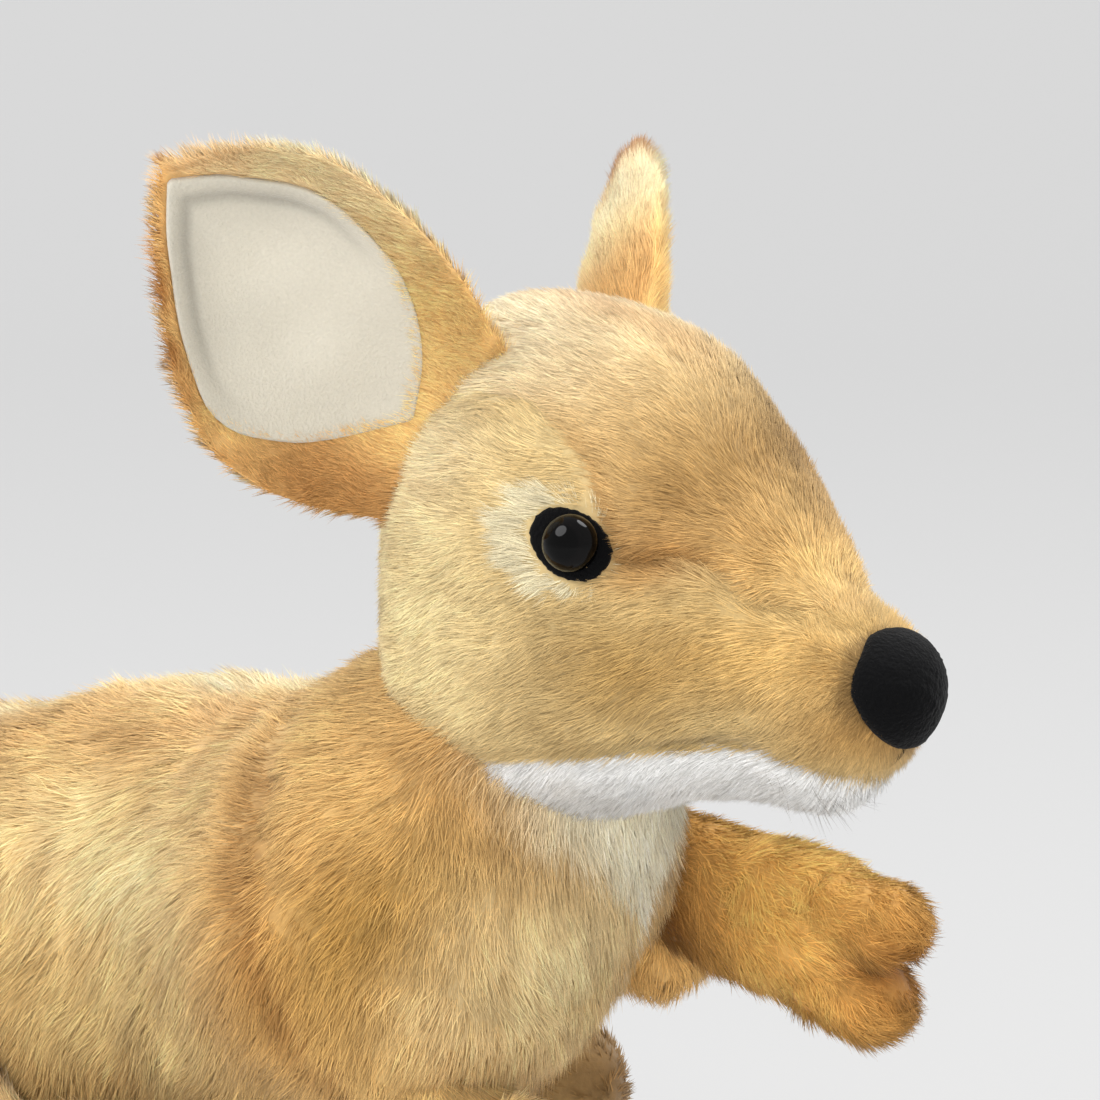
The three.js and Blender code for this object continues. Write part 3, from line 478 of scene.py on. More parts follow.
headSetting = {
    "outline": [(-37, -14, 31, 49, 46), (-18, -14, 34, 52, 52), (2, -15, 35, 52, 53), (22, -17, 34, 48, 50),
                (44, -23, 28, 32, 39), (66, -31, 19, 17, 27), (88, -35, 14.5, 13, 20)],
    "caps": (36, 17), "rows": 130, "sides": 160, "full": (0.17, 70, 110),
    "gussetSeam": [(-60, -12), (-26, 10), (0, 21), (17, 18), (30, 8), (36, -4), (39, -9), (45, -8.5),
                   (51, -7.5), (57, -10), (62, -15.5), (72, -18.5), (100, -28)],
    "chinSeam": [(-40, -60), (-6, -54.5), (14, -50.5), (40, -46.5), (63, -44.5), (78, -49), (100, -54)],
    "seamDepth": 1.3, "seamWidth": 2.2, "fold": (1.2, 48, 14), "socket": (1.6, 9), "lumps": (0.7, 34),
    "seamTone": "a9773c", "seamShare": 0.6, "seamBlur": 3, "seamEnds": (24, 38, 48, 64),
    "ridgeTone": "cc9c66", "ridgeShare": 0.45, "ridgeWidth": 7, "ridgeRise": (18, 34),
    "eyeTravel": 64.3, "eyeAngle": 16, "clear": {"nose": 0.74, "rim": 0.95, "patch": 0.96}, "neckSpare": -7,
    "combHeights": (-50, -20, 10, 40), "combRise": (-0.55, -0.4, 0.25, 0.1), "combSpread": 0.25,
    "noseSize": (12.4, 9.5, 10.5), "noseTaper": 0.14, "noseHeight": -32, "noseReach": 88,
    "streak": (5, 0.09), "gussetTone": "d6b882", "cheekTone": "d0b681", "chinTone": "ebeae7",
    # gusset spots: airbrushed colour, partly painted light and shade: the pale crown spot stands in partly
    # for light from above, the darker spots on the brow and bridge partly for shade on the side turned from
    # the lamps
    "gussetSpots": [(-5, 34, 32, 22, "fbeccb", 0.9), (50, 6, 20, 15, "ab864f", 0.85),
                    (20, 10, 12, 9, "c79f60", 0.6), (62, -10, 14, 9, "d3a45e", 0.45),
                    (87, -22, 9, 9, "9c6a28", 0.9), (45, -6, 9, 6, "a8763c", 0.4),
                    (70, -12, 8, 6, "ecc682", 0.6)],
    # cheek spots: airbrushed colour, partly painted light and shade: the darker spot low on the cheek stands
    # in partly for the shade there, the pale spot at the back of the cheek partly for the light it catches
    "cheekSpots": [(-12, -26, 26, 36, "efdca9", 0.7), (42, -30, 16, 12, "a98850", 0.85),
                   (40, -8, 12, 7, "dfc48e", 0.6), (66, -26, 22, 9, "d5ab64", 0.7),
                   (84, -38, 12, 9, "b88a48", 0.7), (44, -11, 8, 4, "b98848", 0.6),
                   (-14, 12, 18, 16, "fff0ca", 0.8)],
    "noseFringe": "47290f", "fringeRise": (0.95, 1.22), "fringeShare": (0.2, 0.4), "fringeHeight": (-8, 0),
}
headPile = {
    "perSquare": 5.2, "perTuft": 7, "tuftReach": 0.9, "length": 5.0, "width": 0.22, "lift": 15, "pull": 0.25,
    "swirl": 0.3, "swirlSize": 16, "stray": 0.16, "droop": 0.05,
    "rootTone": (0.88, 0.83, 0.75), "tipTone": (1.07, 1.07, 1.07),
}
headForm = stuffedForm(sideStations(headSetting["outline"], skull), headSetting["caps"],
                       headSetting["rows"], headSetting["sides"], headSetting["full"])
gussetSeam = np.array(headSetting["gussetSeam"], float) + skull[[0, 2]]
chinSeam = np.array(headSetting["chinSeam"], float) + skull[[0, 2]]


# A place on the head's skin, with its outward, forward and upward directions.
def headSpot(side, travel, angle):
    turn = np.radians(angle) if side == "left" else np.pi - np.radians(angle)
    at = formPoint(headForm, np.array(travel), np.array(turn))
    ahead = unit(formPoint(headForm, np.array(travel + 1.0), np.array(turn)) - at)
    around = formPoint(headForm, np.array(travel), np.array(turn + 0.02)) - at
    outward = np.cross(unit(around), ahead)
    outward = unit(outward) * np.sign(outward[1]) * sideSigns[side]
    upward = np.cross(outward, ahead)
    return at, outward, ahead, upward * np.sign(upward[2])


eyes = {side: headSpot(side, headSetting["eyeTravel"], headSetting["eyeAngle"]) for side in sideSigns}


def eyeGap(points):  # distance to the nearer eye's middle
    return np.minimum(*(np.linalg.norm(points - eyes[side][0], axis=-1) for side in sideSigns))


def dressHead():  # pulled in along the seams and at the eyes, with slow lumps
    points = headForm["points"]
    deeper, foldAt, foldWidth = headSetting["fold"]
    socket, socketWidth = headSetting["socket"]
    lumps, lumpSize = headSetting["lumps"]
    seam = np.minimum(lineGap(points, gussetSeam), lineGap(points, chinSeam))
    fold = 1 + deeper * bell(points[..., 0] - skull[0] - foldAt, foldWidth)
    depth = -headSetting["seamDepth"] * fold * bell(seam, headSetting["seamWidth"])
    depth = depth - socket * bell(eyeGap(points), socketWidth) + lumps * ripple(points, lumpSize, 3)
    dressForm(headForm, depth * rise(headForm["travel"], 0, 12))


dressHead()


farShare = 9.0  # a share well outside an outline


def noseOutline(turn):
    wide, up, down = headSetting["noseSize"]
    lift = np.sin(turn)
    narrowing = 1 + headSetting["noseTaper"] * np.minimum(lift, 0)
    return wide * narrowing * np.cos(turn), np.where(lift > 0, up, down) * lift


def noseShare(points):  # 1 on the edge of the nose pad in front view, less inside it
    local = points - skull - np.array([headSetting["noseReach"], 0, headSetting["noseHeight"]])
    wide, up, down = headSetting["noseSize"]
    tall = local[..., 2] / np.where(local[..., 2] > 0, up, down)
    narrowing = 1 + headSetting["noseTaper"] * np.minimum(np.clip(tall, -1, 1), 0)
    share = np.sqrt((local[..., 1] / (wide * narrowing)) ** 2 + tall ** 2)
    return np.where(local[..., 0] > -8, share, farShare)


def eyeLocal(points, side):  # forward, upward and outward distances from the eye's middle
    at, outward, ahead, upward = eyes[side]
    off = points - at
    return (off * ahead).sum(-1), (off * upward).sum(-1), (off * outward).sum(-1)


eyeDepth = 12  # what lies deeper than this behind an eye is not near it
rimSetting = {"reach": 8.6, "tall": 6.4, "tilt": 6, "back": 0.9, "down": 0.7, "ends": 1.6, "sides": 2.4}
patchSetting = {"reach": 12, "tall": 9.4, "back": 4.0, "down": 1.4, "tone": "e2d6b4"}


def rimTurned(ahead, upward, way):  # turned by the almond's tilt, one way or the other
    tilt = np.radians(rimSetting["tilt"]) * way
    return ahead * np.cos(tilt) - upward * np.sin(tilt), ahead * np.sin(tilt) + upward * np.cos(tilt)


def nearEyes(points, inShare):  # the lesser of both eyes' shares
    share = farShare
    for side in sideSigns:
        ahead, upward, outward = eyeLocal(points, side)
        share = np.minimum(share, np.where(outward > -eyeDepth, inShare(ahead, upward), farShare))
    return share


def rimShare(points):  # 1 on the almond's edge round either eye: powers of the two distances, added
    def inAlmond(ahead, upward):
        along, over = rimTurned(ahead + rimSetting["back"], upward + rimSetting["down"], 1)
        along = np.abs(along / rimSetting["reach"]) ** rimSetting["ends"]
        return along + np.abs(over / rimSetting["tall"]) ** rimSetting["sides"]
    return nearEyes(points, inAlmond)


def patchShare(points):  # 1 on the edge of the cream patch round either eye, which is ragged
    ragged = 1 + 0.16 * ripple(points, 7, 12)

    def inPatch(ahead, upward):
        wide = ((ahead + patchSetting["back"]) / patchSetting["reach"]) ** 2
        return np.sqrt(wide + ((upward + patchSetting["down"]) / patchSetting["tall"]) ** 2) * ragged
    return nearEyes(points, inPatch)


def headRegion(points):  # 1 gusset, 2 cheek, 3 chin
    seam = np.interp(points[..., 0], gussetSeam[:, 0], gussetSeam[:, 1])
    chin = np.interp(points[..., 0], chinSeam[:, 0], chinSeam[:, 1])
    return np.where(points[..., 2] > seam, 1, np.where(points[..., 2] > chin, 2, 3))


def headTone(points):
    region = headRegion(points)[..., None]
    ahead, height = points[..., 0:1] - skull[0], points[..., 2:3] - skull[2]
    gusset = dyeAndShadeSpots(points, tint(headSetting["gussetTone"]), headSetting["gussetSpots"], skull)
    ridge = bell(points[..., 1:2], headSetting["ridgeWidth"]) * rise(height, *headSetting["ridgeRise"])
    gusset = layTone(gusset, headSetting["ridgeTone"], headSetting["ridgeShare"] * ridge)
    cheek = dyeAndShadeSpots(points, tint(headSetting["cheekTone"]), headSetting["cheekSpots"], skull)
    ends = headSetting["seamEnds"]
    seam = bell(lineGap(points, gussetSeam), headSetting["seamBlur"])[..., None]
    seam = seam * rise(ahead, *ends[:2]) * (1 - rise(ahead, *ends[2:])) * headSetting["seamShare"]
    tone = np.where(region == 1, gusset, np.where(region == 2, cheek, tint(headSetting["chinTone"])))
    tone = layTone(tone, headSetting["seamTone"], seam)
    least, more = headSetting["fringeShare"]
    fringe = (1 - rise(noseShare(points), *headSetting["fringeRise"]))[..., None] * (region < 3)
    fringe = fringe * (least + more * rise(height - headSetting["noseHeight"], *headSetting["fringeHeight"]))
    tone = layTone(tone, headSetting["noseFringe"], fringe)
    return tone * np.where(region < 3, streaks(points, *headSetting["streak"]), 1)


def headComb(points, along):  # back from the nose, upward over the brow and downward on the cheeks
    apart = headSetting["combSpread"] * np.sign(points[:, 1]) * rise(np.abs(points[:, 1]), 4, 20)
    upward = np.interp(points[:, 2] - skull[2], headSetting["combHeights"], headSetting["combRise"])
    return np.stack([np.full(len(points), -1.0), apart, upward], -1)


def onSide(kept, points, side):  # 1 where kept, on one side only if a side is named
    return (kept if side is None else kept & (points[..., 1] * sideSigns[side] > 0)).astype(float)


def headKeep(wanted, side=None):
    def keep(points, normals):
        clear = headSetting["clear"]
        kept = (headRegion(points) == wanted) & (noseShare(points) > clear["nose"])
        kept = kept & (rimShare(points) > clear["rim"])
        kept = kept & ((patchShare(points) > clear["patch"]) | (wanted == 3))
        return onSide(kept & ~inside(bodyForm, points, headSetting["neckSpare"]), points, side)
    return keep


def plainTone(function):
    return lambda points, normals: function(points)


# Body: trunk and neck in one skin

bodySetting = {
    "outline": [(-219, -54, 40, 39, 36), (-185, -47, 46, 44, 40), (-140, -43, 49, 44, 45),
                (-95, -41, 47, 55, 47), (-53, -35, 43, 54, 47), (-19, -19, 38, 43, 40), (0, 0, 33, 32, 34),
                (18.6, 22.2, 25, 24, 30), (32, 40, 19, 18, 24)],
    "caps": (60, 16), "rows": 150, "sides": 160, "full": (0.2, 165, 215),
    "bellySeam": [(-255, -72), (-155, -74), (-75, -77), (-29, -70), (3, -40), (45, 0)],
    "bellyFront": -30, "throat": (-92, -60, 28, 12), "throatEdge": (0.45, 1.3), "shoulderSeam": -8,
    "seamLean": 0.6, "valley": 5, "valleyWidth": 9, "seamDepth": 3.4, "seamWidth": 4.5, "seamTop": (-32, -8),
    "bellyDepth": 1.2, "bellyBlur": 4, "lumps": (1.8, 60),
    "streak": (15, 0.1), "backTone": "dfb879", "bellyTone": "ebe1c4",
    "spots": [(-50, 15, 40, 12, "f3cd92", 0.7), (-60, -14, 46, 17, "fbe0a8", 0.95),
              (-50, -44, 60, 18, "e0c78c", 0.7), (2, -26, 22, 30, "b9863c", 0.65),
              (24, -12, 15, 20, "b48c46", 0.9), (48, -20, 14, 26, "f2e0b2", 0.75)],
    # painted shade: this brown darkens the neck under the jaw and the crease along the shoulder seam
    "crease": "8a5a2a", "creaseBlur": 3.4, "creaseShare": 0.55, "creaseTop": (-26, -8),
    # the dorsal bands are a darker colour beside the spine; the pale ridge along the spine is a painted
    # highlight, the light along the top of the back
    "dorsal": ("b98344", 23, 9, 0.3), "ridge": ("fdebc2", 0, 13, 0.85),
    "swells": [(-6, 42, -22, 40, 16), (20, 40, -12, 24, 3), (-6, -42, -22, 42, 24), (24, -38, -30, 30, 22),
               (32, -42, -44, 28, 16)],
}
bodyPile = {
    "perSquare": 2.4, "perTuft": 14, "tuftReach": 1.7, "length": 8.8, "width": 0.24, "lift": 19, "pull": 0.5,
    "mottle": 0.22, "swirl": 0.45, "swirlSize": 30, "stray": 0.2, "droop": 0.1,
    "rootTone": (0.82, 0.75, 0.65), "tipTone": (1.1, 1.1, 1.1),
}
bodyForm = stuffedForm(sideStations(bodySetting["outline"], neckPivot), bodySetting["caps"],
                       bodySetting["rows"], bodySetting["sides"], bodySetting["full"])
bellySeam = np.array(bodySetting["bellySeam"], float) + neckPivot[[0, 2]]
shoulderSeam = neckPivot[0] + bodySetting["shoulderSeam"]


def pastSeam(points):  # distance in front of the shoulder seam, which leans forward downwards
    return points[..., 0] - shoulderSeam + bodySetting["seamLean"] * (points[..., 2] - neckPivot[2])


def belowNeck(points):
    return neckPivot[2] - points[..., 2]


def dressBody():  # a valley down the back, drawn-in seams, swells over the limbs' roots and slow lumps
    points, normals, travel = bodyForm["points"], bodyForm["normals"], bodyForm["travel"]
    onBack = rise(normals[..., 2], 0.5, 0.9) * rise(-(points[..., 0] - neckPivot[0]), 25, 60)
    depth = -bodySetting["valley"] * bell(points[..., 1], bodySetting["valleyWidth"]) * onBack
    seam = bell(pastSeam(points), bodySetting["seamWidth"]) * rise(belowNeck(points), *bodySetting["seamTop"])
    depth = depth - bodySetting["seamDepth"] * seam
    for forward, side, height, reach, swell in bodySetting["swells"]:
        middle = neckPivot + np.array([forward, side, height])
        depth = depth + swell * np.exp(-((points - middle) ** 2).sum(-1) / reach ** 2)
    lumps, lumpSize = bodySetting["lumps"]
    depth = depth - bodySetting["bellyDepth"] * bell(lineGap(points, bellySeam), bodySetting["bellyBlur"])
    depth = depth + lumps * ripple(points, lumpSize, 8) * rise(travel, 0, 30)
    dressForm(bodyForm, depth * rise(travel, 0, 10))


dressBody()


def pastNeck(points):  # distance past the neck's joint, along the neck
    return (points - neckPivot) @ neckAxis


def bodyRegion(points):  # 1 flank, 2 shoulder, 3 belly and throat, 4 neck
    belly = points[..., 2] < np.interp(points[..., 0], bellySeam[:, 0], bellySeam[:, 1])
    belly = belly & (points[..., 0] - neckPivot[0] < bodySetting["bellyFront"] + 4 * ripple(points, 12, 16))
    return np.where(belly, 3, np.where(pastNeck(points) > 0, 4, np.where(pastSeam(points) > 0, 2, 1)))


def throatShare(points):  # a soft cream V under the chin, pointed and a little to the left below
    low, high, half, lean = bodySetting["throat"]
    up = rise(points[..., 2] - skull[2], low, high)
    off = np.abs(points[..., 1] - lean * (1 - up)) / (half * up + 0.1)
    ahead = (points[..., 0] - neckPivot[0]) * neckAxis[2] - (points[..., 2] - neckPivot[2]) * neckAxis[0]
    return (1 - rise(off, *bodySetting["throatEdge"])) * rise(ahead, 2, 12)


def bodyTone(points):
    region = bodyRegion(points)[..., None]
    ahead, below = points[..., 0:1] - neckPivot[0], belowNeck(points)[..., None]
    plush = dyeAndShadeSpots(points, tint(bodySetting["backTone"]), bodySetting["spots"], neckPivot)
    onBack = rise(-below, -16, -2) * rise(-ahead, 10, 50)
    # darker dorsal bands beside the spine, then the pale ridge along it as a painted highlight
    for code, out, width, share in (bodySetting["dorsal"], bodySetting["ridge"]):
        plush = layTone(plush, code, bell(np.abs(points[..., 1:2]) - out, width) * onBack * share)
    # painted shade on the neck, where the jaw shades it
    crease = rise(pastNeck(points), 18, 28)[..., None] * (0.1 + 0.2 * rise(ahead + below, -30, 20))
    plush = layTone(plush, bodySetting["crease"], crease)
    # painted shade along the crease of the shoulder seam
    seam = bell(pastSeam(points), bodySetting["creaseBlur"])[..., None] * bodySetting["creaseShare"]
    plush = layTone(plush, bodySetting["crease"], seam * rise(below, *bodySetting["creaseTop"]))
    plush = layTone(plush, bodySetting["bellyTone"], throatShare(points)[..., None])
    tone = np.where(region == 3, tint(bodySetting["bellyTone"]), plush)
    return tone * streaks(points, *bodySetting["streak"])


def bodyComb(points, along):  # back over the spine, down the flank; from the neck on it fans out from the jaw
    high = rise(points[:, 2] - neckPivot[2], -30, 8)[:, None]
    flank = np.array([-0.45, 0, -1.0]) * (1 - high) + np.array([-1.0, 0, -0.25]) * high
    jaw = skull + np.array([6.0, 0, -40])
    fan = unit((points - jaw) * np.array([1, 0.3, 1])) + np.array([-0.25, 0, -0.35])
    ahead = rise(pastSeam(points), -10, 10)[:, None]
    return flank * (1 - ahead) + fan * ahead


# Limbs and tail

armSetting = {
    "outline": [(-12, 5, 8, 9, 9), (4, 7, 10, 11, 12), (28, 8, 12, 14, 15), (52, 8, 13, 16, 16),
                (71, 7, 12.5, 15.5, 15.5)],
    "tilt": {"left": 12, "right": 38}, "drawnIn": {"left": 0, "right": 5}, "sunk": {"left": 0, "right": 13},
    "sunkShare": (1, 1, 1, 1, 0.5), "tallShare": {"left": (1, 1), "right": (0.5, 0.7)},
    "caps": (18, 18), "rows": 70, "sides": 84, "lumps": (0.8, 30),
    "toeRadius": 8.5, "toeShare": {"left": 1, "right": 0.78}, "toeReach": -20, "toeSpread": 9,
    "toeLength": 27, "toeWiden": 1.5, "toeStart": 0.75, "toeFlare": 0.2, "knobRows": 30, "knobSides": 40,
    "elbowCaps": (10, 10), "bend": (4, 34),
    "elbow": [(-14, 6, -15, 10, 10, 10), (9, 9, -20, 10, 10, 10), (19, 9, -21, 10, 10, 10)],
    # between: the colour of the painted shade in the cleft between the toes
    "streak": (61, 0.07), "tone": "fac470", "between": "9a6430", "betweenShadeShare": 0.55, "elbowTone": "e6b872",
    "clear": (40, 74),
    # the first spot is painted shade under the arm, the second painted shadow of the chest on the arm's root;
    # the third darkens the toe ends
    "spots": [(-26, -17, 34, 9, "a06a26", 0.6), (-50, 4, 14, 16, "6e3c0c", 0.85),
              (8, 0, 13, 20, "a06c30", 0.9)],
}
legSetting = {
    "outline": [(-40, 30, 52, 16, 16), (0, 20, 60, 17, 18), (50, -12, 56, 17, 17), (95, -12, 45, 15, 15),
                (124, -8, 39, 14, 13)],
    "caps": (41, 22), "rows": 90, "sides": 100, "lumps": (1.2, 46), "streak": (71, 0.09), "tone": "dcb577",
    # the third spot is painted shade on the front of the knee, where the chest shades it
    "spots": [(0, 10, 50, 18, "c79a5a", 0.6), (40, -30, 50, 22, "ead09b", 0.7),
              (130, -20, 22, 30, "563819", 0.9)],
}
footSetting = {
    "outline": [(-16, 13, 13, 14, 16), (20, 13, 14, 14, 17), (70, 12, 15, 12, 16), (130, 11, 14, 9, 14)],
    "out": 20, "caps": (20, 22), "rows": 80, "sides": 90, "soleHeight": 6, "soleLow": 1.2,
    "streak": (73, 0.07), "tone": "d8ae6b", "sole": "e6d9b8",
}
tailSetting = {
    "outline": [(26.5, 14, 26), (0, 0, 26), (-34, -18, 24.5), (-74, -44, 18.5), (-119, -65, 14),
                (-166, -71, 9.5)],
    "caps": (30, 16), "rows": 110, "sides": 100, "lumps": (0.8, 40), "streak": (81, 0.09), "tone": "dab374",
    "under": "ead6a6", "underShare": 0.6, "underEdge": (-12, 4), "bendFrom": (14, 0, 8),
    "bendTo": (-30, 0, -16),
}
floorGap = 0.4  # what lies on the floor keeps this height
limbPile = dict(bodyPile, rootTone=(0.9, 0.84, 0.74), perSquare=3, length=6.5, width=0.26, lift=18,
                perTuft=9, tuftReach=1.3, swirl=0.6, swirlSize=12, stray=0.25)
pawPile = dict(limbPile, perSquare=3.4, length=5.6, perTuft=8, tuftReach=1.1)


def formOf(stations, setting):
    return stuffedForm(stations, setting["caps"], setting["rows"], setting["sides"])


def lumpy(form, setting, seed, start):  # slow lumps on a form, none at its start
    depth, size = setting["lumps"]
    dressForm(form, depth * ripple(form["points"], size, seed) * rise(form["travel"], 0, start))


def armForms(side):
    tilt = np.radians(armSetting["tilt"][side])
    lead = np.array([np.cos(tilt), 0, -np.sin(tilt)])
    over = np.array([np.sin(tilt), 0, np.cos(tilt)])
    rows = np.array(armSetting["outline"], float)
    rows[:, 3] *= np.linspace(*armSetting["tallShare"][side], len(rows))
    rows[:-1, 1] -= armSetting["drawnIn"][side]
    middle = shoulders[side] + rows[:, :1] * lead + rows[:, 1:2] * np.array([0, sideSigns[side], 0])
    middle -= over * (armSetting["sunk"][side] * np.array(armSetting["sunkShare"]))[:, None]
    arm = formOf(np.c_[middle, rows[:, 2:]], armSetting)
    lumpy(arm, armSetting, 21, 8)
    radius = armSetting["toeRadius"] * armSetting["toeShare"][side]
    knobGrid = armSetting["knobRows"], armSetting["knobSides"]
    toes = []
    for spread in (1, -1):
        upward = over * spread * armSetting["toeSpread"] * armSetting["toeShare"][side]
        start = middle[-1] + lead * armSetting["toeReach"] + upward * armSetting["toeStart"]
        end = start + lead * armSetting["toeLength"] + upward * armSetting["toeFlare"]
        size = [radius + armSetting["toeWiden"], radius, radius]
        stations = [[*place, *size] for place in (start, (start + end) / 2, end)]
        toes.append(stuffedForm(stations, (radius, radius), *knobGrid))
    knob = np.array(armSetting["elbow"], float)
    knob[:, :3] = shoulders[side] + knob[:, :3] * np.array([1, sideSigns[side], 1])
    return arm, toes, stuffedForm(knob, armSetting["elbowCaps"], *knobGrid)


arms = {side: armForms(side) for side in sideSigns}


def legForms(side):
    out = sideSigns[side]
    rows = np.asarray(legSetting["outline"], float)
    middle = hips[side] + np.c_[rows[:, 0], out * rows[:, 3], (rows[:, 1] - rows[:, 2]) / 2]
    half = (rows[:, 1] + rows[:, 2]) / 2
    haunch = formOf(np.c_[middle, rows[:, 4], half, half], legSetting)
    lumpy(haunch, legSetting, 23, 20)
    rows = np.asarray(footSetting["outline"], float)
    beside = np.full(len(rows), hips[side][1] + out * footSetting["out"])
    foot = formOf(np.c_[hips[side][0] + rows[:, 0], beside, rows[:, 1:]], footSetting)
    foot["points"][..., 2] = np.maximum(foot["points"][..., 2], floorGap)
    foot["normals"] = gridNormals(foot["points"])
    return haunch, foot


legs = {side: legForms(side) for side in sideSigns}
tailRows = np.asarray(tailSetting["outline"], float)
tailLine = tailPivot + np.c_[tailRows[:, 0], np.zeros(len(tailRows)), tailRows[:, 1]]
tailForm = formOf(np.c_[tailLine, np.repeat(tailRows[:, 2:], 3, 1)], tailSetting)
tailForm["points"][..., 2] = np.maximum(tailForm["points"][..., 2], floorGap)
lumpy(tailForm, tailSetting, 25, 10)
tailForm["points"][..., 2] = np.maximum(tailForm["points"][..., 2], strandSetting["floor"])
print("forms worked out")


backingGapShade, knobGapShade = 0.8, 0.9  # painted shade: the backing, and that of the toes and elbow, is darkened beside its plush so the gaps between strands look shaded


def skinPiece(name, form, tone, body, nodes=(), share=backingGapShade):
    piece = layClosedGrid(name, form["points"], tone(form["points"]) * share)
    return finishPiece(piece, backingFinish, body, nodes)


# Head pieces

chinPile = dict(headPile, perSquare=7.5, length=3.6, width=0.17, lift=24,
                tipTone=(1.02, 1.02, 1.02), rootTone=(0.86, 0.85, 0.84))
hairPile = dict(headPile, perSquare=0.12, perTuft=2, tuftReach=1.5, length=7, width=0.08, lift=40,
                pull=0, swirl=0.6, stray=0.4)
fringePile = dict(headPile, perSquare=9, perTuft=5, tuftReach=0.6, length=3.2, width=0.18, lift=38)
fringeReach = 21


def fringeKeep(wanted, side):  # short upright pile round the nose
    def keep(points, normals):
        gap = np.linalg.norm(points - skull - np.array([84, 0, headSetting["noseHeight"]]), axis=-1)
        return headKeep(wanted, side)(points, normals) * (gap < fringeReach)
    return keep


def hairKeep(points, normals):  # long thin hairs on the front of the chin only
    return ((headRegion(points) == 3) & (points[..., 0] - skull[0] > 58)).astype(float)


def hairComb(points, along):
    return np.broadcast_to(np.array([0.7, 0, -0.6]), points.shape)


def hairTone(points, normals):
    return np.broadcast_to(tint("8f867c"), points.shape)


skinPiece("head_skin", headForm, headTone, "head", ["head_filling"])
for name, wanted, side, node, seed in (
        ("head_gusset_pile", 1, None, "head_gusset", 101), ("cheek_left_pile", 2, "left", "cheek_left", 102),
        ("cheek_right_pile", 2, "right", "cheek_right", 103), ("chin_pile", 3, None, "chin_panel", 104)):
    setting = chinPile if wanted == 3 else headPile
    piles = [pileOf(headForm, setting, headKeep(wanted, side), headComb, plainTone(headTone), seed)]
    if wanted == 3:
        piles.append(pileOf(headForm, hairPile, hairKeep, hairComb, hairTone, 105))
    else:
        fringe = fringeKeep(wanted, side)
        piles.append(pileOf(headForm, fringePile, fringe, headComb, plainTone(headTone), seed + 20))
    furPiece(name, piles, setting, "head", node)


# The head's skin near the eye, as a near-weighted mean of its grid, raised along the eye's axis.
def eyeSkin(side, ahead, upward, lift):
    at, outward, lead, rising = eyes[side]
    forward, over, off = eyeLocal(headForm["points"], side)
    near = (np.hypot(forward, over) < 18) & (off > -eyeDepth)
    gaps = (ahead.reshape(-1, 1) - forward[near]) ** 2 + (upward.reshape(-1, 1) - over[near]) ** 2
    weight = np.exp(-gaps / 2) + 1e-9
    depth = ((weight @ off[near]) / weight.sum(1)).reshape(ahead.shape) + lift
    return at + ahead[..., None] * lead + upward[..., None] * rising + depth[..., None] * outward


domeSetting = {"radius": 5.6, "tall": 4.6, "seat": 1.6, "sides": 48, "rings": 26, "under": -0.35,
               "tone": "030303", "ring": "080707", "ringEdges": (0.55, 0.68, 0.9, 1.0)}


def layEye(side):  # a dome turned about the eye's own axis: radius times cos, height times sin
    at, outward, ahead, upward = eyes[side]
    turns = ringTurns(domeSetting["sides"])
    rings = np.linspace(domeSetting["under"], np.pi / 2, domeSetting["rings"])
    spread = np.cos(rings)[:, None, None] * domeSetting["radius"]
    lift = (domeSetting["seat"] + np.sin(rings) * domeSetting["tall"])[:, None, None]
    lift[0] = lift[1]
    spread[0] = 0
    facing = np.cos(turns)[:, None] * ahead + np.sin(turns)[:, None] * upward
    points = at + spread * facing[None] + lift * outward
    far = np.broadcast_to((spread / domeSetting["radius"])[..., 0], points.shape[:2])
    edges = domeSetting["ringEdges"]
    ring = (rise(far, *edges[:2]) * (1 - rise(far, *edges[2:])))[..., None]
    tones = layTone(tint(domeSetting["tone"]), domeSetting["ring"], ring)
    piece = layClosedGrid("eye_dome_" + side, points, tones, flip=side == "left")
    finishPiece(piece, eyeFinish, "head", ["eye_" + side, "eye_washer_" + side])


def layRim(side):  # an almond: reach times a power of cos, height times sin, lifted off the skin
    turns = ringTurns(72)
    share = np.r_[0, np.linspace(0.1, 1, 12), 1.0, 0.6, 0][:, None]
    lift = np.r_[np.full(12, 1.5), 1.2, 0.2, -0.6, -0.6][:, None]
    along = np.sign(np.cos(turns)) * np.abs(np.cos(turns)) ** (2 / rimSetting["ends"]) * rimSetting["reach"]
    over = np.sign(np.sin(turns)) * np.abs(np.sin(turns)) ** (2 / rimSetting["sides"]) * rimSetting["tall"]
    frayed = 1 + 0.012 * np.sin(turns * 17) + 0.012 * np.sin(turns * 29 + 1)
    ahead, upward = rimTurned(along, over, -1)
    ahead = ahead * frayed * share - rimSetting["back"]
    upward = upward * frayed * share - rimSetting["down"]
    points = eyeSkin(side, ahead, upward, np.broadcast_to(lift, ahead.shape))
    piece = layClosedGrid("eye_rim_felt_" + side, points, flip=side == "left")
    finishPiece(piece, feltFinish, "head", ["eye_rim_" + side])


patchPile = dict(headPile, perSquare=13, perTuft=12, tuftReach=0.8, length=5.6, width=0.17, lift=16,
                 pull=0.45, swirl=0.35, swirlSize=6, stray=0.18,
                 rootTone=(0.8, 0.76, 0.68), tipTone=(1.05, 1.05, 1.05))


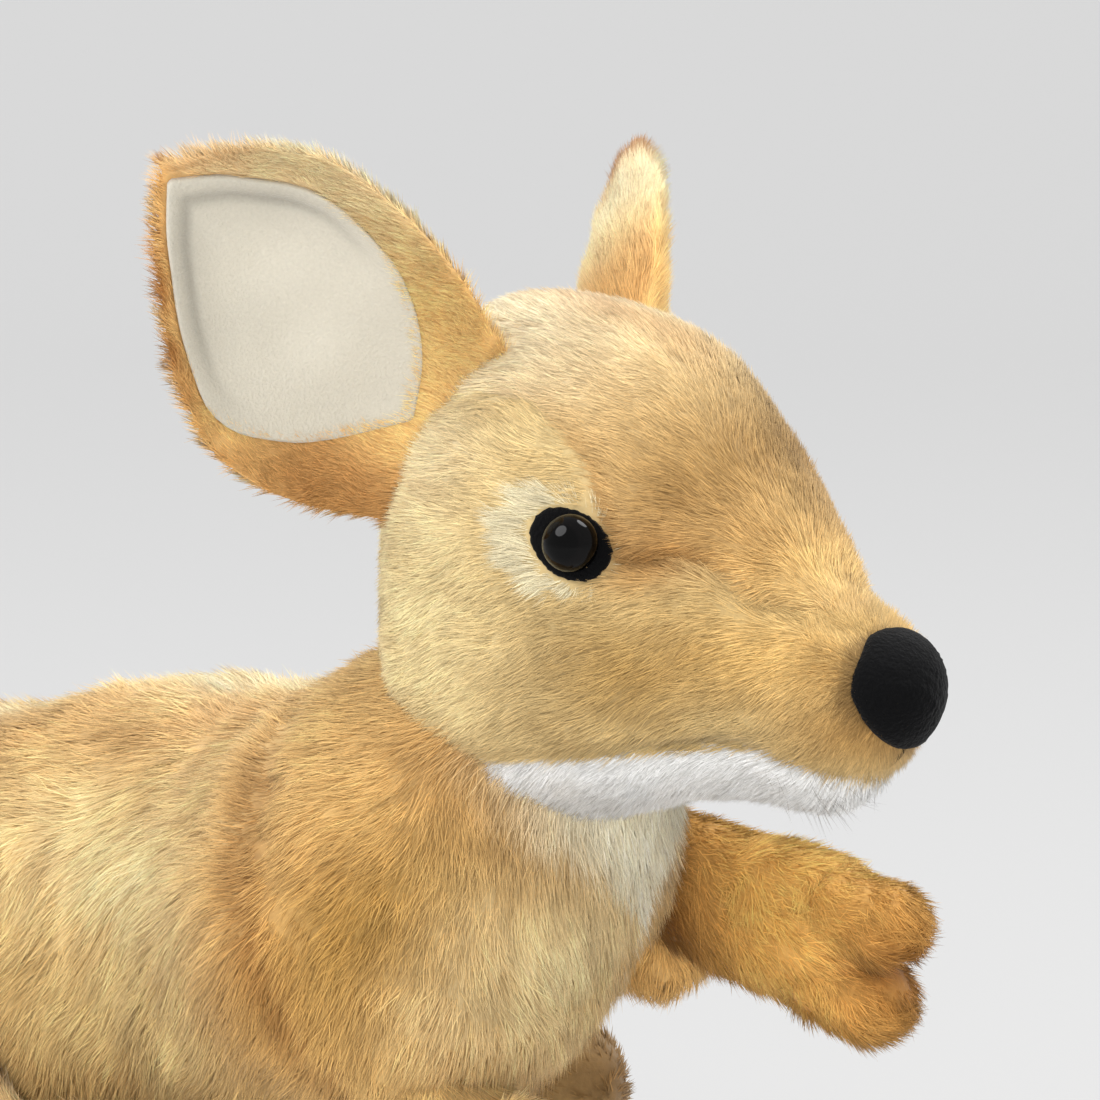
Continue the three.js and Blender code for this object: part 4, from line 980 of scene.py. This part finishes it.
def layPatch(side):
    at = eyes[side][0]

    def keep(points, normals):
        return onSide((patchShare(points) < 1) & (rimShare(points) > 1), points, side)

    def comb(points, along):  # out from the eye, and swept back
        ahead, upward, outward = eyeLocal(points, side)
        back = rise(-ahead, -6, 6)[:, None]
        out = unit(points - at)
        return out * (1 - 0.4 * back) + np.array([-0.8, 0, 0]) * back + np.array([-0.25, 0, 0])

    def tone(points, normals):
        base = np.broadcast_to(tint(patchSetting["tone"]), points.shape)
        return base * (1 + 0.05 * ripple(points, 8, 31))[:, None]

    def shorten(points):  # short in front of the eye, full length behind it
        return 0.45 + 0.55 * rise(-eyeLocal(points, side)[0], -7, 4)

    setting = dict(patchPile, lengthAt=shorten)
    piles = [pileOf(headForm, setting, keep, comb, tone, 110)]
    furPiece("eye_patch_pile_" + side, piles, setting, "head", "eye_patch_" + side)


for side in sideSigns:
    layEye(side)
    layRim(side)
    layPatch(side)


def frontSkin(across, upward):  # the head's skin at a place in front view, a near-weighted mean
    front = (headForm["travel"] > headForm["length"] - 30) & (headForm["normals"][..., 0] > 0.02)
    points, normals = headForm["points"][front], headForm["normals"][front]
    wanted = np.stack([across, upward + skull[2] + headSetting["noseHeight"]], -1).reshape(-1, 2)
    gaps = ((wanted[:, None] - points[None][..., 1:]) ** 2).sum(-1)
    weight = np.exp(-gaps / 1.4) + 1e-12
    weight = weight / weight.sum(1, keepdims=True)
    shape = across.shape + (3,)
    return (weight @ points).reshape(shape), unit(weight @ normals).reshape(shape)


padSetting = {"sides": 80, "rings": 16, "first": 0.08, "edge": 2.0, "crown": 2.6, "sunk": -2,
              "fuzz": (0.12, 1.4)}


def layNose():  # rings of the rounded-triangle outline on the snout's end, crowned in the middle
    across, upward = noseOutline(ringTurns(padSetting["sides"]))
    rings = np.r_[0, np.linspace(padSetting["first"], 1, padSetting["rings"])]
    share = np.r_[rings, 1.0, 0.6, 0][:, None]
    crown = padSetting["edge"] + padSetting["crown"] * np.sqrt(1 - rings ** 2)
    lift = np.r_[crown, 0, padSetting["sunk"], padSetting["sunk"]][:, None]
    skin, out = frontSkin(across * share, upward * share)
    fuzz, fuzzSize = padSetting["fuzz"]
    points = skin + out * (lift + fuzz * ripple(skin, fuzzSize, 41))[..., None]
    piece = layClosedGrid("nose_felt", points, flip=True)
    finishPiece(piece, feltFinish, "head", ["nose_pad"])


layNose()


stitchSetting = {"from": -10, "to": -15, "rows": 24, "sides": 12, "radius": 0.6, "lift": 0.9}


def layStitch():  # a thread of round section down the middle of the lip
    rows = stitchSetting["rows"]
    path = np.linspace(stitchSetting["from"], stitchSetting["to"], rows)
    skin, out = frontSkin(np.zeros(rows), path)
    turns = ringTurns(stitchSetting["sides"])[None, :, None]
    size = stitchSetting["radius"] * np.sqrt(1 - np.linspace(-1, 1, rows) ** 2)[:, None, None]
    ring = np.cos(turns) * np.array([0, 1.0, 0]) + np.sin(turns) * out[:, None]
    points = skin[:, None] + out[:, None] * stitchSetting["lift"] + ring * size
    piece = layClosedGrid("mouth_thread", points)
    finishPiece(piece, feltFinish, "head", ["mouth_stitch"])


layStitch()
print("head done")

# Ears: a flattened tube cupped towards its face, with the lining set in its front

earSetting = {
    "along": [0, 12, 22, 30, 38, 46, 52, 62, 70, 76, 81],
    "halfWidth": [21.5, 25.2, 28.2, 29.4, 29.6, 28, 26.4, 21.2, 14.8, 9, 2],
    "middle": [-1, -1.7, -0.9, 0, 0.9, 2.4, 3.7, 5.8, 6.2, 5.6, 5],
    "trim": {"left": 0.34, "right": 0}, "funnel": {"left": (8, 7), "right": (0, 2)},
    "cup": {"left": 11, "right": 17}, "balance": {"left": 0.7, "right": 0.6}, "seat": {"left": 7, "right": 4},
    "setBack": {"left": 2, "right": 9}, "tipBack": {"left": 3.5, "right": 0},
    "lowCurl": {"left": 0.3, "right": 1}, "tipDark": {"left": 0.95, "right": 0.35}, "rootDepth": 12,
    "thickness": 4.4, "lead": (-0.43, 0.6, 0.675), "rows": 80, "sides": 120, "bend": (2, 20),
    "liningAlong": [9, 14, 22, 29, 35, 42, 50, 59, 66, 72, 78],
    "liningHalf": [0.5, 8, 16, 20, 22.3, 22.8, 21.2, 17, 11.8, 7, 0.5],
    "liningMiddle": [-1.5, -1.6, -2, -1.7, -1.5, -1, 1, 2.5, 3, 3.4, 3.6],
    # pale: the ear's own paler colour, and partly painted light on its lit band
    "streak": (51, 0.08), "tone": "fdd08a", "pale": "ffe4b4", "edge": "a5682c", "mostDark": 0.85,
    "lining": "c3bdae",
}
liningSetting = {"front": 37, "back": 16, "sides": 72, "first": 0.06, "groove": 0.84, "grooveWidth": 0.05,
                 "lift": 0.9, "hem": 0.6, "dip": 0.5, "pillow": 1.6, "waves": (0.8, 24), "sunk": 1}
earPile = dict(headPile, perSquare=8, length=4.6, width=0.17, lift=24, perTuft=8, tuftReach=0.9, droop=0.02)
earLength = earSetting["along"][-1]


def smoothLine(at, size, want):  # a smooth line through a few sizes: Hermite curves with central slopes
    at, size = np.array(at, float), np.array(size, float)
    slope = np.gradient(size, at)
    want = np.clip(want, at[0], at[-1])
    first = np.clip(np.searchsorted(at, want) - 1, 0, len(at) - 2)
    gap = at[first + 1] - at[first]
    share = (want - at[first]) / gap
    low, high = size[first], size[first + 1]
    left = 1 - share
    return (low * (1 + 2 * share) * left ** 2 + high * share ** 2 * (3 - 2 * share)
            + gap * slope[first] * share * left ** 2 - gap * slope[first + 1] * share ** 2 * left)


def earTrim(side, along):  # narrower towards the tip where trim is above 0
    return 1 - earSetting["trim"][side] * rise(along, 28, 68)


def earLine(at, size, power):  # a trimmed size along the ear, by its rows in the settings
    def read(side, along):
        return smoothLine(earSetting[at], earSetting[size], along) * earTrim(side, along) ** power
    return read


earWidth, earMiddle = earLine("along", "halfWidth", 1), earLine("along", "middle", 3)
liningHalf, liningMiddle = earLine("liningAlong", "liningHalf", 1), earLine("liningAlong", "liningMiddle", 3)
liningLow, liningHigh = earSetting["liningAlong"][0], earSetting["liningAlong"][-1]


def liningReach(side, along):
    return np.where((along > liningLow) & (along < liningHigh), liningHalf(side, along), 0)


def earShare(side, along, reach):  # -1 and 1 on the ear's edges
    return (reach - earMiddle(side, along)) / np.maximum(earWidth(side, along), 1)


def earFrame(side):  # the ear's root, along, across and facing directions
    sign = sideSigns[side]
    across = np.array(joints["ear_fold_" + side]["axis"]) * sign
    lead = unit(np.array(earSetting["lead"]) * np.array([1, sign, 1]))
    root = jointPlace("ear_fold_" + side) - lead * earSetting["seat"][side]
    return root, lead, across, np.cross(lead, across) * sign


def earCup(side, along, reach):  # cup times sin of the length times (share of the width squared less balance)
    share = earShare(side, along, reach)
    curl = share ** 2 * np.where(share < 0, earSetting["lowCurl"][side], 1)
    bowl = earSetting["cup"][side] * np.sin(np.pi * np.clip(along, 0, earLength) / earLength)
    setBack = earSetting["setBack"][side] * (1 - rise(along, 0, 38))
    setBack = setBack + earSetting["tipBack"][side] * rise(along, 25, 80)
    return bowl * (curl - earSetting["balance"][side]) - setBack


def earSheet(side, along, reach, offset):
    root, lead, across, face = earFrame(side)
    cup = earCup(side, along, reach) + offset
    return root + along[..., None] * lead + reach[..., None] * across + cup[..., None] * face


def earForm(side):
    depth = earSetting["rootDepth"]
    along = (earLength + depth) * (1 - np.cos(np.linspace(0, np.pi, earSetting["rows"]))) / 2 - depth
    turn = ringTurns(earSetting["sides"]) * sideSigns[side]
    along, turn = np.meshgrid(along, turn, indexing="ij")
    closing = np.sqrt(np.clip(1 - (2 * (along + depth) / (earLength + depth) - 1) ** 8, 0, 1))
    reach = earWidth(side, along) * np.cos(turn) * closing + earMiddle(side, along)
    front, behind = earSetting["funnel"][side]
    thick = earSetting["thickness"] / 2 + np.where(np.sin(turn) > 0, front, behind) * (1 - rise(along, 5, 62))
    points = earSheet(side, along, reach, thick * np.sin(turn) * closing)
    lead = np.broadcast_to(earFrame(side)[1], points.shape)
    return {"points": points, "normals": gridNormals(points), "along": lead}


def earPlace(points, side):  # along, reach and facing distances in the ear's own frame
    root, lead, across, face = earFrame(side)
    off = points - root
    along, reach = off @ lead, off @ across
    return along, reach, off @ face - earCup(side, along, reach)


def layLining(side):  # a cupped pillow with a groove and a hem; its back follows the bowl; painted shade darkens the groove and the hem towards the top left
    first, groove = liningSetting["first"], liningSetting["groove"]
    inward = np.linspace(first, 1, liningSetting["front"])
    share = np.r_[0, inward, np.linspace(1, first, liningSetting["back"]), 0][:, None]
    turns = ringTurns(liningSetting["sides"]) * sideSigns[side]
    middle, half = (liningLow + liningHigh) / 2, (liningHigh - liningLow) / 2
    edge = middle + half * np.sin(turns)
    along = middle + share * (edge - middle)
    centre = liningMiddle(side, middle)
    reach = np.sign(np.cos(turns)) * liningReach(side, edge) + liningMiddle(side, edge)
    reach = centre + share * (reach - centre)
    lip = rise(np.sin(turns), -0.4, 0.6)
    dip = bell(share - groove, liningSetting["grooveWidth"]) * lip
    hem = rise(share, groove, 0.93) * (1 - rise(share, 0.97, 1.0)) * lip
    pillow = 1 - rise(share, 0.1, 0.9)
    waves, waveSize = liningSetting["waves"]
    seat = earSetting["thickness"] / 2
    lift = seat + liningSetting["lift"] + liningSetting["hem"] * hem - liningSetting["dip"] * dip
    lift = lift + liningSetting["pillow"] * pillow
    lift = lift + waves * pillow * ripple(earSheet(side, along, reach, lift), waveSize, 54)
    lift[-1 - liningSetting["back"]:] = seat - liningSetting["sunk"]
    points = earSheet(side, along, reach, lift)
    tones = tint(earSetting["lining"]) * (1 + 0.03 * ripple(points, 22, 53))[..., None]
    # painted shade: darker in the groove and towards the hem at the top left
    tones = tones * (1 - 0.3 * dip[..., None]) * (1 - 0.14 * (rise(share, 0.45, 0.9) * lip)[..., None])
    return layClosedGrid("ear_lining_velour_" + side, points, tones)


def layEar(side):
    form = earForm(side)
    root, lead, across, face = earFrame(side)

    def tone(points, normals=None):  # paler on one half, partly painted light on the band that faces the lamps, and paler behind; dark on one edge, low down and at the tip
        along, reach, out = earPlace(points, side)
        share = earShare(side, along, reach)
        # the pale half is partly the plush's colour and partly painted light on the band facing the lamps
        pale = 0.85 * rise(share, -0.3, 0.6) * rise(along, 20, 55) + 0.3 * (out < 0) * rise(along, 8, 40)
        base = layTone(tint(earSetting["tone"]), earSetting["pale"], pale[..., None])
        base = base * streaks(points, *earSetting["streak"])
        patchy = 0.3 + 0.5 * rise(ripple(points, 16, 52), -0.2, 0.5)
        edge = rise(-share, 0.75, 1.0) * rise(along, 22, 50) * patchy
        edge = edge + earSetting["tipDark"][side] * rise(along, 60, 77)
        low = 0.6 * (1 - rise(along, 14, 40)) * rise(-share, 0.1, 0.7) * (out > 0)
        behind = 0.55 * rise(along, 46, 72) * (1 - rise(np.abs(share), 0.2, 0.8))
        behind = (behind + 0.4 * (1 - rise(along, 18, 42)) * rise(share, -0.2, 0.5)) * (out < 0)
        dark = np.clip(edge + low + behind, 0, earSetting["mostDark"])[..., None]
        return layTone(base, earSetting["edge"], dark)

    def keep(points, normals):
        along, reach, out = earPlace(points, side)
        inLining = np.abs(reach - liningMiddle(side, along)) < liningReach(side, along) - 0.6
        return (~(inLining & (out > 0)) & ~inside(headForm, points, -3)).astype(float)

    def comb(points, along):  # to the tip, and out to both edges
        place, reach, out = earPlace(points, side)
        return along + across * (earShare(side, place, reach) * 0.45)[:, None]

    skin = layClosedGrid("ear_leaf_" + side, form["points"], tone(form["points"]) * backingGapShade)
    pile = layPile("ear_pile_" + side, [pileOf(form, earPile, keep, comb, tone, 120)], earPile)
    for piece, finish, slot, nodes in (
            (skin, backingFinish, "tan_plush", []), (pile, furFinish, "tan_plush", ["ear_back_" + side]),
            (layLining(side), liningFinish, "ear_lining", ["ear_lining_" + side])):
        finishPiece(piece, finish, None, nodes)
        bend(piece, "head", "ear_" + side, *(root + lead * run for run in earSetting["bend"]))


for side in sideSigns:
    layEar(side)
print("ears done")

# Body pieces

def covered(points):  # roots inside a limb, the tail or the head carry no pile
    hidden = inside(headForm, points, -9) | inside(tailForm, points, -5)
    for side in sideSigns:
        hidden = hidden | inside(arms[side][0], points, -5) | inside(legs[side][0], points, -7)
        hidden = hidden | inside(legs[side][1], points, -3)
    return hidden


def bodyKeep(wanted, side=None):
    def keep(points, normals):
        return onSide((bodyRegion(points) == wanted) & ~covered(points), points, side)
    return keep


bellyPile = dict(bodyPile, perSquare=1.6, length=7.5, rootTone=(0.74, 0.7, 0.62), tipTone=(1.05, 1.05, 1.05))
frontPile = dict(bodyPile, perSquare=3.2, length=7.6)
neckBend = neckPivot - neckAxis * 14, neckPivot + neckAxis * 14
bodySkin = skinPiece("trunk_skin", bodyForm, bodyTone, None, ["trunk_filling", "neck_filling"])
bend(bodySkin, "trunk", "neck", *neckBend)
for name, wanted, side, node, setting, seed in (
        ("flank_left_pile", 1, "left", "flank_left", bodyPile, 201),
        ("flank_right_pile", 1, "right", "flank_right", bodyPile, 202),
        ("shoulder_left_pile", 2, "left", "shoulder_left", frontPile, 203),
        ("shoulder_right_pile", 2, "right", "shoulder_right", frontPile, 204),
        ("belly_pile", 3, None, "belly_panel", bellyPile, 205),
        ("neck_pile", 4, None, "neck_collar", frontPile, 206)):
    piles = [pileOf(bodyForm, setting, bodyKeep(wanted, side), bodyComb, plainTone(bodyTone), seed)]
    piece = furPiece(name, piles, setting, None, node)
    bend(piece, "trunk", "neck", *neckBend)
print("body done")


def alongComb(lean):
    return lambda points, along: along + np.asarray(lean, float)


def layArm(side):
    arm, toes, elbow = arms[side]
    tip, start, lead = arm["line"][-1, :3], arm["line"][0, :3], arm["lead"][0]
    cleftWay = toes[0]["line"][0, :3] - toes[1]["line"][0, :3]

    def armTone(points, normals=None):  # the near arm's root takes the body's tone; painted shade darkens the cleft between the toes
        base = dyeAndShadeSpots(points, tint(armSetting["tone"]), armSetting["spots"], tip)
        base = base * streaks(points, *armSetting["streak"])
        if side == "right":
            clear = rise((points - shoulders[side]) @ lead, *armSetting["clear"])[..., None]
            base = bodyTone(points) * (1 - clear) + base * clear
        # painted shade in the cleft between the two toes
        cleftShade = bell((points - tip) @ cleftWay, 45) * rise((points - tip) @ arm["lead"][-1], -12, 0)
        return layTone(base, armSetting["between"], armSetting["betweenShadeShare"] * cleftShade[..., None])

    def elbowTone(points, normals=None):  # less yellow than the arm, darker below
        low = rise(shoulders[side][2] - points[..., 2], 14, 30)[..., None]
        return tint(armSetting["elbowTone"]) * streaks(points, *armSetting["streak"]) * (1 - 0.2 * low)

    def armKeep(points, normals):
        hidden = inside(bodyForm, points, -5) | inside(toes[0], points, -2) | inside(toes[1], points, -2)
        return (~hidden).astype(float)

    def toeKeep(points, normals):
        return (~inside(arm, points, -2)).astype(float)

    bent = [skinPiece("arm_skin_" + side, arm, armTone, None, ["arm_filling_" + side])]
    for i, toe in enumerate(toes):
        skinPiece("toe_skin_%s_%d" % (side, i + 1), toe, armTone, "arm_" + side, share=knobGapShade)
    piles = [pileOf(arm, limbPile, armKeep, alongComb((0, 0, -0.15)), armTone, 300)]
    if side == "left":  # only the far elbow shows
        piles.append(pileOf(elbow, limbPile, toeKeep, alongComb((-1, 0, -0.8)), elbowTone, 305))
    for i, toe in enumerate(toes):
        piles.append(pileOf(toe, pawPile, toeKeep, alongComb((0, 0, 0)), armTone, 301 + i))
    bent.append(furPiece("arm_pile_" + side, piles, limbPile, None, "arm_sleeve_" + side))
    if side == "left":
        bent.append(skinPiece("elbow_skin_" + side, elbow, elbowTone, None, share=knobGapShade))
    for piece in bent:
        bend(piece, "trunk", "arm_" + side, *(start + lead * run for run in armSetting["bend"]))


for side in sideSigns:
    layArm(side)
print("arms done")

haunchPile = dict(bodyPile, perSquare=2.0)
solePile = dict(limbPile, length=2.6, lift=20, perSquare=3)


def layLeg(side):
    haunch, foot = legs[side]
    body, soleHeight = "leg_" + side, footSetting["soleHeight"]

    def haunchTone(points, normals=None):
        base = dyeAndShadeSpots(points, tint(legSetting["tone"]), legSetting["spots"], hips[side])
        return base * streaks(points, *legSetting["streak"])

    def footTone(points, normals=None):
        sole = (1 - rise(points[..., 2], 2, soleHeight))[..., None]
        plush = tint(footSetting["tone"]) * streaks(points, *footSetting["streak"])
        return layTone(plush, footSetting["sole"], sole)

    def haunchKeep(points, normals):
        return (~inside(bodyForm, points, -6) & ~inside(foot, points, -4)).astype(float)

    def upperKeep(points, normals):
        return (~inside(haunch, points, -5) & (points[..., 2] > soleHeight)).astype(float)

    def soleKeep(points, normals):
        return ((points[..., 2] <= soleHeight) & (points[..., 2] > footSetting["soleLow"])).astype(float)

    def shorten(points):  # short on the knee
        return 1 - 0.5 * rise(points[..., 0] - hips[side][0], 90, 125)

    skinPiece("haunch_skin_" + side, haunch, haunchTone, body, ["haunch_filling_" + side])
    skinPiece("foot_skin_" + side, foot, footTone, body, ["foot_filling_" + side])
    for name, form, setting, keep, lean, tone, seed, slot, node in (
            ("haunch_pile_", haunch, dict(haunchPile, lengthAt=shorten), haunchKeep, (-2, 0, 0.1), haunchTone,
             310, "tan_plush", "haunch_cover_"),
            ("foot_pile_", foot, limbPile, upperKeep, (0, 0, -0.1), footTone,
             320, "tan_plush", "foot_upper_"),
            ("sole_pile_", foot, solePile, soleKeep, (0, 0, 0), footTone,
             330, "cream_plush", "foot_sole_")):
        piles = [pileOf(form, setting, keep, alongComb(lean), tone, seed)]
        furPiece(name + side, piles, setting, body, node + side)


for side in sideSigns:
    layLeg(side)
print("legs done")


def tailTone(points, normals=None):  # paler below its middle line
    base = np.broadcast_to(tint(tailSetting["tone"]), points.shape)
    line = np.interp(points[..., 0], tailLine[::-1, 0], tailLine[::-1, 2])
    under = (1 - rise(points[..., 2] - line, *tailSetting["underEdge"]))[..., None]
    base = layTone(base, tailSetting["under"], tailSetting["underShare"] * under)
    return base * streaks(points, *tailSetting["streak"])


def tailKeep(points, normals):
    return (~inside(bodyForm, points, -6)).astype(float)


tailPile = dict(bodyPile, perSquare=1.7, length=8.5)
tailSkin = skinPiece("tail_skin", tailForm, tailTone, None, ["tail_filling"])
piles = [pileOf(tailForm, tailPile, tailKeep, alongComb((0, 0, -0.1)), tailTone, 340)]
tailFur = furPiece("tail_pile", piles, tailPile, None, "tail_cover")
for piece in (tailSkin, tailFur):
    bend(piece, "trunk", "tail", tailPivot + tailSetting["bendFrom"], tailPivot + tailSetting["bendTo"])
print("tail done")

# Stage, lights and camera

stageSetting = {"floorTone": "e6e6e6", "evenTone": "dcdcdc", "evenShare": 0.8, "reach": 4.0, "behind": 1.9,
                "bendRadius": 0.9, "wall": 3.0, "world": 0.6}
cameraSetting = {"azimuth": 40, "elevation": 8, "distance": 900, "focal": 4500, "skullAt": (560, 480),
                 "frame": 1100, "sensor": 36}
# each lamp's metres to the right of the head, towards the camera and up, its size, its power and
# whether it is mirrored
lampSetting = {"keyLamp": (-0.9, 0.5, 0.85, 0.9, 15, True), "topLamp": (0.6, -0.25, 1.15, 0.7, 13.5, True),
               "frontLamp": (0.15, 1.2, 0.1, 1.0, 8, False)}


def viewVectors():
    azimuth, elevation = np.radians(cameraSetting["azimuth"]), np.radians(cameraSetting["elevation"])
    level = np.cos(elevation)
    back = np.array([np.sin(azimuth) * level, -np.cos(azimuth) * level, np.sin(elevation)])
    right = np.array([np.cos(azimuth), np.sin(azimuth), 0])
    return back, right, np.cross(back, right)


# Pale paper. The camera sees it part lit and part as an even tone, so shadows stay soft.
def floorMaterial():
    material = clothMaterial("paleFloor", 3, 0.01, 0.0, code=stageSetting["floorTone"])
    tree = material.node_tree
    path = addNode(tree, "ShaderNodeLightPath")
    seen = addNode(tree, "ShaderNodeMath", operation="MAXIMUM")
    share = addNode(tree, "ShaderNodeMath", {1: stageSetting["evenShare"]}, operation="MULTIPLY")
    even = addNode(tree, "ShaderNodeEmission", {"Color": (*tint(stageSetting["evenTone"]), 1)})
    mixed = addNode(tree, "ShaderNodeMixShader")
    wire(tree, (path.outputs["Is Camera Ray"], seen.inputs[0]),
         (path.outputs["Is Glossy Ray"], seen.inputs[1]), (seen.outputs[0], share.inputs[0]),
         (share.outputs[0], mixed.inputs["Fac"]),
         (tree.nodes["Principled BSDF"].outputs[0], mixed.inputs[1]), (even.outputs[0], mixed.inputs[2]),
         (mixed.outputs[0], tree.nodes["Material Output"].inputs["Surface"]))
    return material


def layStage():  # a floor that bends up into a wall behind, square to the camera's heading
    back, right, up = viewVectors()
    away = -np.array([back[0], back[1], 0]) / np.linalg.norm(back[:2])
    turn = np.linspace(0, np.pi / 2, 24)
    run = np.r_[-stageSetting["reach"], stageSetting["behind"] + np.sin(turn) * stageSetting["bendRadius"],
                stageSetting["behind"] + stageSetting["bendRadius"]]
    tall = np.r_[0, (1 - np.cos(turn)) * stageSetting["bendRadius"], stageSetting["wall"]]
    sides = np.array([-1.0, 1]) * stageSetting["reach"]
    points = run[:, None, None] * away + sides[None, :, None] * right
    points[..., 2] += tall[:, None]
    index = np.arange(points.shape[0] * 2).reshape(-1, 2)
    quads = np.stack([index[:-1, 0], index[:-1, 1], index[1:, 1], index[1:, 0]], -1)
    piece = layMesh("floor", points.reshape(-1, 3) / mm, quads.ravel(), np.full(len(quads), 4))
    piece.data.materials.append(floorMaterial())


def areaLamp(name, place, aim, size, power, mirrored):
    lamp = bpy.data.lights.new(name, "AREA")
    lamp.shape = "DISK"
    lamp.size = size
    lamp.energy = power
    holder = bpy.data.objects.new(name, lamp)
    bpy.context.scene.collection.objects.link(holder)
    holder.location = Vector(place)
    holder.rotation_euler = (Vector(aim) - Vector(place)).to_track_quat("-Z", "Y").to_euler()
    holder.visible_glossy = mirrored


def setCamera():
    back, right, up = viewVectors()
    eye = skull + back * cameraSetting["distance"]
    scale = cameraSetting["distance"] / cameraSetting["focal"]
    middle = cameraSetting["frame"] / 2
    off = np.array(cameraSetting["skullAt"]) - middle
    aim = skull - right * off[0] * scale + up * off[1] * scale
    camera = bpy.data.cameras.new("photoView")
    camera.sensor_width = cameraSetting["sensor"]
    camera.lens = cameraSetting["sensor"] * cameraSetting["focal"] / cameraSetting["frame"]
    holder = bpy.data.objects.new("photoView", camera)
    bpy.context.scene.collection.objects.link(holder)
    holder.location = Vector(eye * mm)
    holder.rotation_euler = Vector((aim - eye) * mm).to_track_quat("-Z", "Y").to_euler()
    bpy.context.scene.camera = holder


layStage()
back, right, up = viewVectors()
for name, (beside, nearer, above, *rest) in lampSetting.items():
    place = skull * mm + right * beside + back * nearer + np.array([0, 0, above])
    areaLamp(name, place, skull * mm, *rest)
world = bpy.data.worlds.new("studio")
world.use_nodes = True
setInputs(world.node_tree.nodes["Background"], {"Color": (1, 1, 1, 1), "Strength": stageSetting["world"]})
bpy.context.scene.world = world
setCamera()
bpy.context.scene.view_settings.view_transform = "Standard"
print("stage done")
